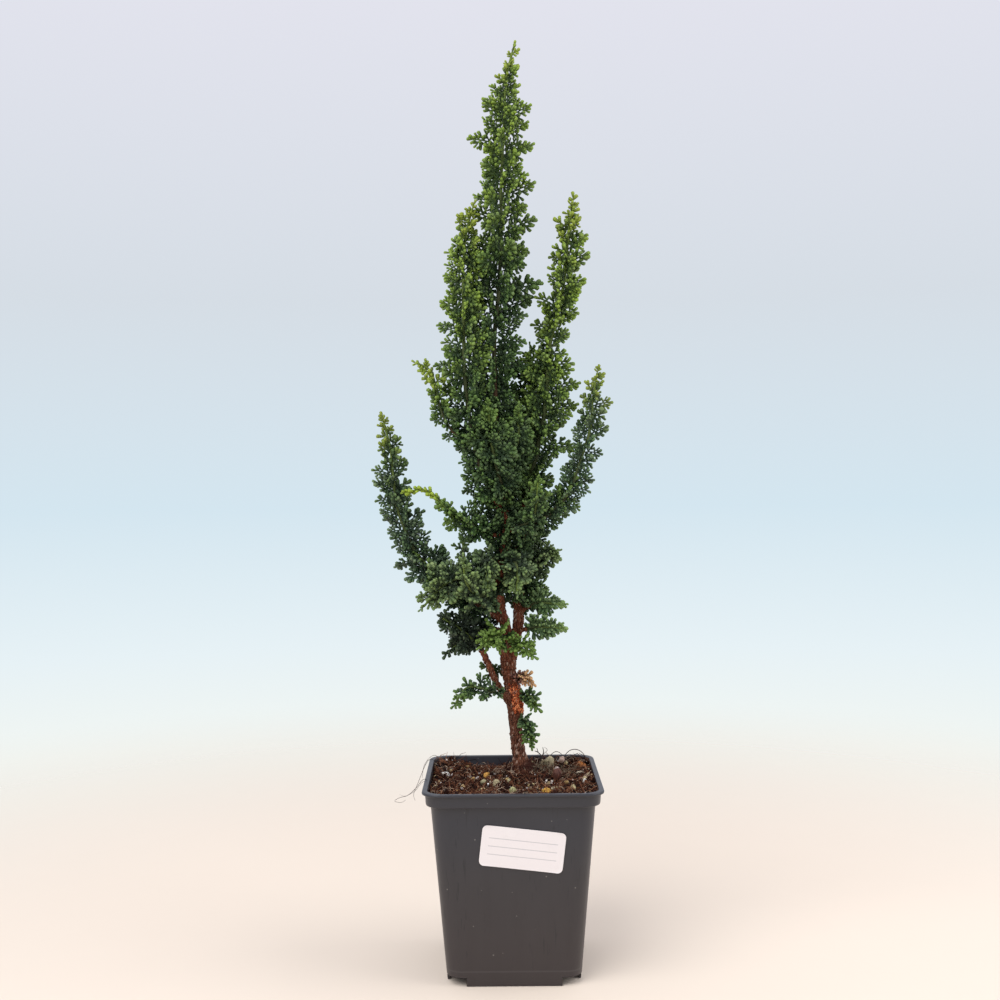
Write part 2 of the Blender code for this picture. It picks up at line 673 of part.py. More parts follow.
def spray_choices(stem, distance, turn, rng):
    # The spray wanted at this station, then the same turned aside or shortened
    centre, direction = place_along(stem.path, stem.total, distance)
    side = side_of(direction)
    up = direction.cross(side)
    lean = rng.uniform(*LEAN)
    roll = rng.choice((-1, 1)) * rng.uniform(*ROLL)
    sunk = ROOT_SINK * stem.core_radius(distance)
    reach = (stem.reach(distance) - sunk) * rng.uniform(0.9, 1.1)
    for shorter in LENGTHS_TRIED:
        for aside in TURNS_TRIED:
            out = side * math.cos(turn + aside) + up * math.sin(turn + aside)
            along = (direction * math.cos(lean) + out * math.sin(lean)).normalized()
            flat = Matrix.Rotation(roll, 3, along) @ along.cross(direction).normalized()
            length = max(shorter * reach / math.sin(lean), SHORTEST_SPRAY)
            pairs = 1 + (length > TWO_PAIRS_FROM) + (length > THREE_PAIRS_FROM)
            yield spray(centre + out * sunk, along, flat, length, pairs, SPRAY_DROOP)


def tip_spray(stem):
    end, direction = place_along(stem.path, stem.total, stem.length - TIP_SINK)
    return spray(end, direction, side_of(direction), TIP_SPRAY, 1, 0)


def stems_of(shoot, path):
    stems = [Stem(shoot, path, shoot.wood * MM + LEAF_GAP)]
    for spur in shoot.spurs:
        route = [Vector(p) * MM for p in spur]
        root = at_height(path, route[0].z - SPUR_DROP)
        stems.append(Stem(shoot, smooth_path([root] + route), 0, SPUR_SCALE))
    return stems


def make_leafy_shoots(paths, neighbours):
    rng = random.Random(SEED)
    occupied = Occupied()
    for obj in neighbours:
        occupied.add(obj.name, shape_of(obj))
    stems = {shoot.name: stems_of(shoot, paths[shoot.name]) for shoot in SHOOTS}
    shapes = {name: [stem.core() for stem in group] for name, group in stems.items()}
    for name, cores in shapes.items():
        for core in cores:
            occupied.add(name, core, is_core=True)
    stations = []
    for name, group in stems.items():
        for stem in group:
            turn = rng.uniform(0, math.tau)
            stations += [(k, name, stem, distance, turn + GOLDEN_ANGLE * k)
                         for k, distance in enumerate(stem.stations())]
            top = tip_spray(stem)
            if occupied.is_clear(name, top):
                occupied.add(name, top)
                shapes[name].append(top)
    # All shoots grow together, spray by spray, so that none takes its neighbours' room
    for k, name, stem, distance, turn in sorted(stations, key=lambda station: station[:2]):
        for shape in spray_choices(stem, distance, turn, rng):
            if occupied.is_clear(name, shape):
                occupied.add(name, shape)
                shapes[name].append(shape)
                break
    for shoot in SHOOTS:
        first, *others = shapes[shoot.name]
        leafy = mesh_object(shoot.name, first, material(shoot.name + "_leaves", shoot.colour, 0.55))
        combine(leafy, others)


def shape_of(obj):
    points = [obj.matrix_world @ v.co for v in obj.data.vertices]
    return points, [tuple(p.vertices) for p in obj.data.polygons]


def main():
    clear_scene()
    paths = routes()
    pot = make_pot()
    make_label()
    soil = make_soil()
    wood = make_wood(paths)
    bpy.context.view_layer.update()
    make_leafy_shoots(paths, (pot, soil, wood))


main()
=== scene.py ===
import json
import math
import random

import bmesh
import bpy
from mathutils import Matrix, Vector, noise

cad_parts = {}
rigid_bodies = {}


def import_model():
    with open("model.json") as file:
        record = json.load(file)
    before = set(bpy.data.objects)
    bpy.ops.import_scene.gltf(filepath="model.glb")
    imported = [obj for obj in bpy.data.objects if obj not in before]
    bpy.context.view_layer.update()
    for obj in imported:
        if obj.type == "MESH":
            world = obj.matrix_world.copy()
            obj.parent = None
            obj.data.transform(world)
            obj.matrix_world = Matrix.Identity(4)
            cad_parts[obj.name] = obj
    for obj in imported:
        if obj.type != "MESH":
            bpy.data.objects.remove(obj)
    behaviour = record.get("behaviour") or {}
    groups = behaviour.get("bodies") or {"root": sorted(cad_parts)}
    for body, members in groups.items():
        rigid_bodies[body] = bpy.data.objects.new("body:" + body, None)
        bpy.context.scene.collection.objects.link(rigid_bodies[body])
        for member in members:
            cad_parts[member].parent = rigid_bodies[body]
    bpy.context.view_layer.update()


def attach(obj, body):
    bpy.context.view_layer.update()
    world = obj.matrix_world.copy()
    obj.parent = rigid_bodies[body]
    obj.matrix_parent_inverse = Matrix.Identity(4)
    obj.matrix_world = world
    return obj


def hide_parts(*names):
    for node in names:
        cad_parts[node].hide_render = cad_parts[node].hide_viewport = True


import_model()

mm = 0.001


# small helpers: their points are in millimetres

def smooth01(low, high, x):
    t = min(1.0, max(0.0, (x - low) / (high - low)))
    return t * t * (3 - 2 * t)


def bumpy(x, y, z, seed):
    # steady noise between about -1 and 1
    return noise.noise(Vector((x + seed * 7.31, y - seed * 3.17, z + seed * 1.93)))


def readTable(table, value):
    for (a, u), (b, v) in zip(table, table[1:]):
        if value <= b:
            return u + (v - u) * max(0.0, value - a) / (b - a)
    return table[-1][1]


def angles(count):
    return [math.tau * k / count for k in range(count)]


def disc(x, y, radius, sides=48):
    return [(x + radius * math.cos(angle), y + radius * math.sin(angle)) for angle in angles(sides)]


def newObject(name, data):
    made = bpy.data.objects.new(name, data)
    bpy.context.scene.collection.objects.link(made)
    return made


def shapeFrom(name, points, faces, finish=None):
    mesh = bpy.data.meshes.new(name)
    mesh.from_pydata([tuple(point * mm) for point in points], [], faces)
    mesh.validate()
    mesh.shade_smooth()
    if finish:
        mesh.materials.append(finish)
    return newObject(name, mesh)


def ringFaces(rings, count, closed=True):
    # quads between rings of the same number of points, with a cap at each end where closed
    faces = []
    for i in range(rings - 1):
        for k in range(count):
            n = (k + 1) % count
            faces.append((i * count + k, i * count + n, (i + 1) * count + n, (i + 1) * count + k))
    if closed:
        faces.append(tuple(reversed(range(count))))
        faces.append(tuple(range((rings - 1) * count, rings * count)))
    return faces


def gridFaces(rows, columns):
    wide = columns + 1
    corners = [j * wide + i for j in range(rows) for i in range(columns)]
    return [(a, a + 1, a + wide + 1, a + wide) for a in corners]


def storeValues(piece, name, values=None):
    made = piece.data.attributes.new(name, "FLOAT", "POINT")
    if values:
        made.data.foreach_set("value", values)


def lumpFrom(name, detail, radius, form, finish, stance=None):
    # a sphere with its points moved by form and then set in its place
    shape = bmesh.new()
    bmesh.ops.create_icosphere(shape, subdivisions=detail, radius=radius)
    for vert in shape.verts:
        vert.co = form(vert.co.copy())
    if stance:
        bmesh.ops.transform(shape, matrix=stance, verts=shape.verts)
    mesh = bpy.data.meshes.new(name)
    shape.to_mesh(mesh)
    shape.free()
    mesh.shade_smooth()
    mesh.materials.append(finish)
    return newObject(name, mesh)


def smoothRoute(route, step):
    # a Catmull-Rom curve through the points, with a sample about every step
    points = [Vector(place) for place in route]
    ends = [points[0] * 2 - points[1], *points, points[-1] * 2 - points[-2]]
    samples = []
    for a, b, c, d in zip(ends, ends[1:], ends[2:], ends[3:]):
        count = max(2, round((c - b).length / step))
        for i in range(count):
            t = i / count
            samples.append(0.5 * (2 * b + (c - a) * t + (2 * a - 5 * b + 4 * c - d) * t * t
                                  + (3 * b - a - 3 * c + d) * t ** 3))
    return samples + [points[-1]]


def pathLengths(path):
    total = [0.0]
    for a, b in zip(path, path[1:]):
        total.append(total[-1] + (b - a).length)
    return total


def tubeFrom(name, path, radiusAt, sides, finish):
    # a tube round a path; radiusAt takes the sample's number and the angle
    points = []
    side = None
    for i, centre in enumerate(path):
        ahead = path[min(i + 1, len(path) - 1)] - path[max(i - 1, 0)]
        ahead.normalize()
        if side is None:
            across = Vector((0, 0, 1)) if abs(ahead.z) < 0.9 else Vector((1, 0, 0))
            side = ahead.cross(across).normalized()
        side = (side - ahead * side.dot(ahead)).normalized()
        up = ahead.cross(side)
        points += [centre + (side * math.cos(angle) + up * math.sin(angle)) * radiusAt(i, angle)
                   for angle in angles(sides)]
    return shapeFrom(name, points, ringFaces(len(path), sides), finish)


def joined(name, objects):
    # one object from several, keeping their attributes and materials
    with bpy.context.temp_override(active_object=objects[0], selected_editable_objects=objects):
        bpy.ops.object.join()
    objects[0].name = name
    objects[0].data.name = name
    return objects[0]


def partsGroup(name, parts):
    # a collection outside the scene, whose parts are picked by the order of their names
    group = bpy.data.collections.new(name)
    for part in parts:
        for home in list(part.users_collection):
            home.objects.unlink(part)
        group.objects.link(part)
    return group


def discard(group):
    for part in list(group.objects):
        bpy.data.objects.remove(part)
    bpy.data.collections.remove(group)


def evaluatedMesh(source):
    bpy.context.view_layer.update()
    return bpy.data.meshes.new_from_object(source.evaluated_get(bpy.context.evaluated_depsgraph_get()))


def settle(piece, nodes=()):
    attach(piece, "root")
    if nodes:
        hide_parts(*nodes)


# node graphs: a wire is a node's output that can be used in sums, and a graph adds the nodes

class Wire:
    def __init__(self, graph, socket):
        self.graph = graph
        self.socket = socket

    def run(self, operation, other=0.0, swapped=False):
        a, b = (other, self) if swapped else (self, other)
        return self.graph.add("ShaderNodeMath", {"operation": operation}, {0: a, 1: b})

    def clamped(self, low, high):
        return self.run("MAXIMUM", low).run("MINIMUM", high)


for sign, sumKind in (("add", "ADD"), ("sub", "SUBTRACT"), ("mul", "MULTIPLY"), ("truediv", "DIVIDE"),
                      ("pow", "POWER")):
    setattr(Wire, f"__{sign}__", lambda self, other, kind=sumKind: self.run(kind, other))
    setattr(Wire, f"__r{sign}__", lambda self, other, kind=sumKind: self.run(kind, other, True))


class Graph:
    def __init__(self, tree):
        self.tree = tree

    def feed(self, socket, value):
        if isinstance(value, Wire):
            self.tree.links.new(value.socket, socket)
        else:
            socket.default_value = value

    def node(self, kind, settings=None, sockets=None):
        made = self.tree.nodes.new(kind)
        for key, value in (settings or {}).items():
            if key == "stops":
                self.setStops(made.color_ramp, value)
            else:
                setattr(made, key, value)
        for key, value in (sockets or {}).items():
            self.feed(made.inputs[key], value)
        return made

    def add(self, kind, settings=None, sockets=None, out=0):
        return Wire(self, self.node(kind, settings, sockets).outputs[out])

    def setStops(self, ramp, stops):
        while len(ramp.elements) < len(stops):
            ramp.elements.new(0.5)
        for element, (place, colour) in zip(ramp.elements, stops):
            element.position = place
            element.color = (*colour, 1)

    def ramp(self, factor, stops):
        return self.add("ShaderNodeValToRGB", {"stops": stops}, {"Fac": factor})


class Finish(Graph):
    # a material's graph, with its noise sizes in millimetres
    def __init__(self, name):
        self.material = bpy.data.materials.new(name)
        self.material.use_nodes = True
        super().__init__(self.material.node_tree)
        self.shader = self.tree.nodes["Principled BSDF"]

    def place(self, stretch=(1, 1, 1)):
        spot = self.add("ShaderNodeTexCoord", out="Object")
        return self.add("ShaderNodeMapping", sockets={"Vector": spot, "Scale": stretch})

    def axis(self, name):
        return self.add("ShaderNodeSeparateXYZ", sockets={0: self.place()}, out=name)

    def attribute(self, name):
        return self.add("ShaderNodeAttribute", {"attribute_name": name}, out="Fac")

    def grain(self, size, detail=4.0, rough=0.55, stretch=(1, 1, 1)):
        return self.add("ShaderNodeTexNoise", sockets={
            "Vector": self.place(stretch), "Scale": 1 / (size * mm), "Detail": detail, "Roughness": rough})

    def cells(self, size):
        return self.add("ShaderNodeTexVoronoi", sockets={"Vector": self.place(), "Scale": 1 / (size * mm)})

    def step(self, value, low, high):
        return self.add("ShaderNodeMapRange", {"interpolation_type": "SMOOTHSTEP"}, {
            "Value": value, "From Min": low, "From Max": high})

    def blend(self, factor, a, b, how="MIX"):
        a, b = (value if isinstance(value, Wire) else (*value, 1) for value in (a, b))
        settings = {"data_type": "RGBA", "blend_type": how}
        return self.add("ShaderNodeMix", settings, {0: factor, 6: a, 7: b}, out=2)

    def layered(self, tone, *layers):
        for share, colour in layers:
            tone = self.blend(share, tone, colour)
        return tone

    def relief(self, height, depth, below=None):
        sockets = {"Height": height, "Distance": depth * mm}
        if below:
            sockets["Normal"] = below
        return self.add("ShaderNodeBump", sockets=sockets)

    def done(self, colour, rough, shine, relief=None):
        self.feed(self.shader.inputs["Base Color"], colour)
        self.feed(self.shader.inputs["Roughness"], rough)
        self.feed(self.shader.inputs["Specular IOR Level"], shine)
        if relief:
            self.feed(self.shader.inputs["Normal"], relief)
        return self.material


class Tree(Graph):
    # a Geometry Nodes tree, whose inputs are read by their names
    def __init__(self, name, **inputs):
        super().__init__(bpy.data.node_groups.new(name, "GeometryNodeTree"))
        for kind, labels in inputs.items():
            for label in labels.split():
                self.tree.interface.new_socket(
                    label, in_out="INPUT", socket_type="NodeSocket" + kind.capitalize())
        self.tree.interface.new_socket("result", in_out="OUTPUT", socket_type="NodeSocketGeometry")
        self.entry = self.tree.nodes.new("NodeGroupInput")

    def __getitem__(self, label):
        return Wire(self, self.entry.outputs[label])

    def between(self, low, high, share):
        return self[low] + (self[high] - self[low]) * share

    def atLeast(self, value, least):
        return self.add("FunctionNodeCompare", {"data_type": "FLOAT", "operation": "GREATER_EQUAL"},
                        {0: value, 1: least})

    def drawn(self, salt):
        # a random share for each item
        return self.add("FunctionNodeRandomValue", {"data_type": "FLOAT"},
                        {"Seed": self["seed"] + salt}, out=1)

    def drawnCount(self, salt, most):
        return self.add("FunctionNodeRandomValue", {"data_type": "INT"},
                        {4: 0, 5: most, "Seed": self["seed"] + salt}, out=2)

    def spread(self, salt, reach):
        # a random number between -reach and reach for each item
        return (self.drawn(salt) - 0.5) * 2.0 * reach

    def turned(self, facing, steps):
        for axis, angle in steps:
            step = self.add("FunctionNodeAxisAngleToRotation", sockets={"Axis": axis, "Angle": angle})
            facing = self.add("FunctionNodeRotateRotation", {"rotation_space": "LOCAL"},
                              {"Rotation": facing, "Rotate By": step})
        return facing

    def placed(self, points, which, facing, scale):
        parts = self.add("GeometryNodeCollectionInfo", sockets={
            "Collection": self["parts"], "Separate Children": True, "Reset Children": True})
        return self.add("GeometryNodeInstanceOnPoints", sockets={
            "Points": points, "Instance": parts, "Pick Instance": True, "Instance Index": which,
            "Rotation": facing, "Scale": scale})

    def stored(self, geometry, label, value, domain="INSTANCE"):
        return self.add("GeometryNodeStoreNamedAttribute", {"data_type": "FLOAT", "domain": domain},
                        {"Geometry": geometry, "Name": self[label], "Value": value})

    def realized(self, geometry, finish):
        geometry = self.add("GeometryNodeRealizeInstances", sockets={"Geometry": geometry})
        return self.add("GeometryNodeSetMaterial", sockets={"Geometry": geometry, "Material": self[finish]})

    def ended(self, *results):
        both = self.tree.nodes.new("GeometryNodeJoinGeometry")
        for result in results:
            self.tree.links.new(result.socket, both.inputs[0])
        self.node("NodeGroupOutput", sockets={"result": Wire(self, both.outputs[0])})
        return self.tree


def runTree(carrier, tree, name, **values):
    # evaluates a tree on an object and gives the result as a plain mesh object; the carrier goes
    modifier = carrier.modifiers.new("grow", "NODES")
    modifier.node_group = tree
    inputs = {item.name: item for item in tree.interface.items_tree if item.in_out == "INPUT"}
    for label, value in values.items():
        isFloat = inputs[label].socket_type == "NodeSocketFloat"
        modifier[inputs[label].identifier] = float(value) if isFloat else value
    carrier.update_tag()
    mesh = evaluatedMesh(carrier)
    mesh.name = name
    old = carrier.data
    bpy.data.objects.remove(carrier)
    if isinstance(old, bpy.types.Curve):
        bpy.data.curves.remove(old)
    return newObject(name, mesh)


# the photograph's camera, the studio and the floor

studio = {
    "cameraPlace": (-0.0063, -0.8013, 0.3060),
    "cameraPitch": -0.848,
    "cameraRoll": -0.496,
    "focal": 1262.3,  # in pixels of the photograph
    "photoWidth": 1000,
    "sensor": 36.0,
    # each light's place, size, power and the height that it aims at
    "lights": {"keyLight": ((-0.75, -0.95, 1.45), 1.5, 23.0, 0.3),
               "sideLight": ((1.1, -0.2, 0.9), 1.2, 8.5, 0.25)},
    "floorRadius": 2200, "floorDrop": 0.2, "floorRings": 24, "floorSides": 96,  # the lengths in millimetres
    "floorClear": (0.22, 1.0), "floorColour": (0.765, 0.665, 0.560),
    # sky colours by the sine of the angle above the level
    "sky": ((-0.36, (0.90, 0.86, 0.80)), (-0.20, (0.890, 0.925, 0.890)), (-0.13, (0.80, 0.885, 0.92)),
            (-0.02, (0.66, 0.79, 0.87)), (0.14, (0.67, 0.725, 0.785)), (0.36, (0.765, 0.77, 0.85))),
}


def makeStudio(s):
    eye = bpy.data.cameras.new("camera")
    eye.sensor_fit = "HORIZONTAL"
    eye.sensor_width = s["sensor"]
    eye.lens = s["focal"] / s["photoWidth"] * s["sensor"]
    camera = newObject("camera", eye)
    camera.location = s["cameraPlace"]
    tilt = Matrix.Rotation(math.radians(90 + s["cameraPitch"]), 3, "X")
    camera.rotation_euler = (tilt @ Matrix.Rotation(math.radians(s["cameraRoll"]), 3, "Z")).to_euler()
    bpy.context.scene.camera = camera
    for name, (place, size, power, aim) in s["lights"].items():
        lamp = bpy.data.lights.new(name, "AREA")
        lamp.shape = "DISK"
        lamp.size = size
        lamp.energy = power
        light = newObject(name, lamp)
        light.location = place
        light.rotation_euler = (Vector((0, 0, aim)) - Vector(place)).to_track_quat("-Z", "Y").to_euler()

    world = bpy.data.worlds.new("paleStudio")
    bpy.context.scene.world = world
    world.use_nodes = True
    sky = Graph(world.node_tree)
    direction = sky.add("ShaderNodeTexCoord", out="Generated")
    height = sky.add("ShaderNodeSeparateXYZ", sockets={0: direction}, out="Z")
    low = s["sky"][0][0]
    span = s["sky"][-1][0] - low
    shade = sky.ramp((height - low) / span, [((place - low) / span, colour) for place, colour in s["sky"]])
    sky.feed(sky.tree.nodes["Background"].inputs["Color"], shade)
    bpy.context.scene.view_settings.view_transform = "Standard"


def makeFloor(s):
    # a round pale sheet that fades out into the sky's own colours
    rings, sides = s["floorRings"], s["floorSides"]
    points = []
    for i in range(rings):
        radius = s["floorRadius"] * (1 - i / rings) ** 1.5
        points += [Vector((x, y, -s["floorDrop"])) for x, y in disc(0, 0, radius, sides)]
    inner = (rings - 1) * sides
    faces = ringFaces(rings, sides, closed=False) + [tuple(range(inner, inner + sides))]
    f = Finish("paleFloor")
    away = f.add("ShaderNodeVectorMath", {"operation": "LENGTH"}, {0: f.place()}, out="Value")
    tone = f.blend(f.grain(45, 3), tuple(0.985 * c for c in s["floorColour"]), s["floorColour"])
    f.done(tone, 0.7, 0.2)
    mixed = f.add("ShaderNodeMixShader", sockets={
        0: f.step(away, *s["floorClear"]), 1: Wire(f, f.shader.outputs[0]),
        2: f.add("ShaderNodeBsdfTransparent")})
    f.feed(f.tree.nodes["Material Output"].inputs["Surface"], mixed)
    floor = shapeFrom("floor", points, faces, f.material)


# geometry trees: one sets parts along a stem, the other strews them over a surface

lengthRatio = 1.5  # between one kind of twig or fan and the next


def growingTree():
    # Each part leans out and is turned on from the last, and the last one stands on the stem's end. The
    # curve's radius says how long the part there should be; the parts come in two variants of each length.
    g = Tree("partsAlongStem", geometry="stem", collection="parts", int="count kinds stemSides seed",
             float="firstLength lengthSpread turn turnSpread footLean tipLean leanSpread rollSpread"
             " crowding bareShare stemFoot stemTip", string="placeName tintName",
             material="leafFinish stemFinish")
    index = g.add("GeometryNodeInputIndex")
    lastIndex = g["count"] - 1
    isLast = g.atLeast(index, lastIndex - 0.5)
    jitter = g.spread(1, 0.3)  # of the distance between two parts
    share = ((index + jitter * (1 - isLast)) / lastIndex).clamped(0.0, 1.0)
    bare = g["bareShare"]
    along = bare + (1 - bare) * (1 - (1 - share) ** g["crowding"])
    sample = g.node("GeometryNodeSampleCurve", {"mode": "FACTOR", "use_all_curves": True}, {
        "Curves": g["stem"], "Factor": along, "Value": g.add("GeometryNodeInputRadius")})
    wanted, spot, tangent = (Wire(g, sample.outputs[name]) for name in ("Value", "Position", "Tangent"))
    points = g.add("GeometryNodePoints", sockets={"Count": g["count"]})
    points = g.add("GeometryNodeSetPosition", sockets={"Geometry": points, "Position": spot})

    length = wanted * (1 + g.spread(2, g["lengthSpread"]))
    kind = (length / g["firstLength"]).run("LOGARITHM", lengthRatio).run("ROUND").clamped(0.0, g["kinds"] - 1)
    scale = length / (g["firstLength"] * lengthRatio ** kind)
    lean = (g.between("footLean", "tipLean", share) + g.spread(4, g["leanSpread"])) * (1 - isLast)
    turn = g["turn"] * index + g.spread(5, g["turnSpread"])
    roll = g.spread(6, g["rollSpread"]) * (1 - isLast * 0.7)
    facing = g.add("FunctionNodeAlignRotationToVector", {"axis": "Z"}, {"Vector": tangent})
    facing = g.turned(facing, (((0, 0, 1), turn), ((0, 1, 0), lean), ((0, 0, 1), roll)))
    placed = g.placed(points, kind * 2 + g.drawnCount(3, 1), facing, scale)
    placed = g.stored(placed, "placeName", along)
    placed = g.stored(placed, "tintName", g.drawn(7))

    way = g.add("GeometryNodeSplineParameter", out="Factor")
    rod = g.stored(g["stem"], "placeName", way, "POINT")
    around = g.add("GeometryNodeCurvePrimitiveCircle", {"mode": "RADIUS"},
                   {"Resolution": g["stemSides"], "Radius": 1.0})
    rod = g.add("GeometryNodeCurveToMesh", sockets={
        "Curve": rod, "Profile Curve": around, "Fill Caps": True,
        "Scale": g.between("stemFoot", "stemTip", way)})
    rod = g.add("GeometryNodeSetShadeSmooth", sockets={"Geometry": rod, "Shade Smooth": True})
    return g.ended(g.realized(placed, "leafFinish"), g.realized(rod, "stemFinish"))


def strewingTree():
    # sunk or raised, tilted at random or standing upright, and only where the surface isn't too steep
    g = Tree("partsOverSurface", geometry="surface", collection="parts", int="seed",
             float="density smallest largest tilt upright lift lowest", string="tintName", material="finish")
    level = g.add("ShaderNodeSeparateXYZ", sockets={0: g.add("GeometryNodeInputNormal")}, out="Z")
    spread = g.node("GeometryNodeDistributePointsOnFaces", {"distribute_method": "RANDOM"}, {
        "Mesh": g["surface"], "Density": g["density"], "Seed": g["seed"],
        "Selection": g.atLeast(level, g["lowest"])})
    points, normal, facing = (Wire(g, spread.outputs[name]) for name in ("Points", "Normal", "Rotation"))
    facing = g.add("FunctionNodeAlignRotationToVector", {"axis": "Y", "pivot_axis": "Z"},
                   {"Rotation": facing, "Factor": g["upright"], "Vector": (0, 0, 1)})
    facing = g.turned(facing, (((0, 0, 1), g.spread(1, (1 - g["upright"]) * math.pi)),
                               ((1, 0, 0), g.spread(2, g["tilt"])), ((0, 1, 0), g.spread(3, g["tilt"]))))
    scale = g.between("smallest", "largest", g.drawn(4) ** 2.0)
    shift = g.add("ShaderNodeVectorMath", {"operation": "SCALE"}, {0: normal, "Scale": g["lift"] * scale})
    points = g.add("GeometryNodeSetPosition", sockets={"Geometry": points, "Offset": shift})
    placed = g.placed(points, g.drawnCount(5, 1000), facing, scale)
    return g.ended(g.realized(g.stored(placed, "tintName", g.drawn(6)), "finish"))


def strew(name, carrier, parts, density, lift, upright=0.0, **inputs):
    # parts strewn over an object, which goes: so many to a square centimetre, and lifted by millimetres
    group = partsGroup(name + "Parts", parts)
    made = runTree(carrier, strewing, name, parts=group, density=density * 1e4, lift=lift * mm,
                   upright=upright, tintName="tint", finish=parts[0].data.materials[0], **inputs)
    discard(group)
    return made


print("studio")
makeStudio(studio)
makeFloor(studio)
growing = growingTree()
strewing = strewingTree()


# pot, in millimetres: half widths across the flats, corner radii and heights

potSizes = {
    "height": 120.0, "rimHalf": 55.0, "rimThick": 1.7, "collarHalf": 53.0, "collarBottom": 111.0,
    "bodyTopHalf": 50.0, "bodyFootHalf": 41.0, "wall": 1.2, "cornerTop": 11.0, "cornerFoot": 10.0,
    "floorUnder": 6.0, "sideFootHalf": 29.0, "cornerLift": 5.5, "centreFoot": 9.0, "wallBow": 0.35,
    "drainRadius": 4.5, "drainPlace": 21.0, "drainDepth": 12, "seam": 9.2, "sharpAngle": 42,
    "cornerSteps": 10, "sideSteps": 9, "wallSteps": 12,
}


def bodyHalf(height):
    p = potSizes
    return p["bodyFootHalf"] + (p["bodyTopHalf"] - p["bodyFootHalf"]) * height / p["collarBottom"]


def squareRing(half, corner, height, cornerSteps, sideSteps):
    # a level ring: an arc for each corner, then points along each side
    straight = half - corner
    quarter = []
    for i in range(cornerSteps + 1):
        angle = math.pi / 2 * i / cornerSteps
        quarter.append((straight + corner * math.cos(angle), straight + corner * math.sin(angle)))
    for i in range(sideSteps):
        quarter.append((straight * (1 - 2 * (i + 1) / (sideSteps + 1)), half))
    ring = []
    for c, s in ((1, 0), (0, 1), (-1, 0), (0, -1)):
        ring += [Vector((x * c - y * s, x * s + y * c, height)) for x, y in quarter]
    return ring


def roundedProfile(corners, steps=4):
    # corners are (half, height, rounding); each is turned into an arc between its two straight runs
    profile = []
    for i, (half, height, rounding) in enumerate(corners):
        here = Vector((half, height))
        before = Vector(corners[i - 1][:2]) - here
        after = Vector(corners[(i + 1) % len(corners)][:2]) - here
        cut = min(rounding, before.length * 0.45, after.length * 0.45)
        a, b = here + before.normalized() * cut, here + after.normalized() * cut
        for k in range(steps + 1):
            t = k / steps
            profile.append(a * (1 - t) ** 2 + here * 2 * t * (1 - t) + b * t * t)
    return profile


def blackPlastic():
    f = Finish("blackNurseryPlastic")
    height = f.axis("Z")
    streaks = f.grain(9, 5, 0.6, stretch=(1, 1, 0.05))
    clouds = f.grain(38, 3, 0.5)
    scuffs = f.step(f.grain(3.2, 6, 0.7, stretch=(1, 1, 0.16)), 0.60, 0.74)
    specks = 1 - f.step(f.cells(7.5), 0.05, 0.075)
    # browner towards the foot of the body; bluish towards its top, which is a painted reflection of the pale
    # blue backdrop
    low = 1 - f.step(height, 0.0, 0.085)
    blueReflection = f.step(height, 0.06, 0.105)
    scratches = f.step(f.grain(1.5, 2, 0.6, stretch=(1, 1, 0.025)), 0.61, 0.66)
    scratches = scratches * f.step(f.grain(24, 2, 0.5, stretch=(1, 1, 0.6)), 0.50, 0.58)
    seam = 1 - f.step((height - potSizes["seam"] * mm).run("ABSOLUTE"), 0.0002, 0.0007)
    tone = f.blend(streaks, (0.014, 0.013, 0.016), (0.030, 0.027, 0.031))
    tone = f.layered(
        tone, (clouds * 0.50, (0.040, 0.035, 0.036)), (blueReflection * 0.40, (0.018, 0.022, 0.034)),
        (low * 0.40, (0.036, 0.022, 0.019)),
        (scuffs * 0.30, (0.010, 0.009, 0.011)), (scratches * 0.5, (0.008, 0.008, 0.011)),
        (seam * 0.25, (0.09, 0.08, 0.08)), (specks * 0.5, (0.22, 0.20, 0.18)))
    bumps = f.relief(streaks, 0.10, below=f.relief(f.grain(0.5, 2, 0.5), 0.02))
    return f.done(tone, 0.27 + streaks * 0.10 + clouds * 0.10 + scuffs * 0.15, 0.5, bumps)


def prism(outline, bottom, top):
    points = [Vector((x, y, z)) for z in (bottom, top) for x, y in outline]
    return shapeFrom("cutter", points, ringFaces(2, len(outline)))


def trim(piece, tools, operation):
    group = partsGroup("tools", tools)
    bpy.context.scene.collection.children.link(group)
    cut = piece.modifiers.new("trim", "BOOLEAN")
    cut.operation = operation
    cut.operand_type = "COLLECTION"
    cut.collection = group
    cut.solver = "EXACT"
    mesh = evaluatedMesh(piece)
    piece.modifiers.clear()
    piece.data = mesh
    discard(group)


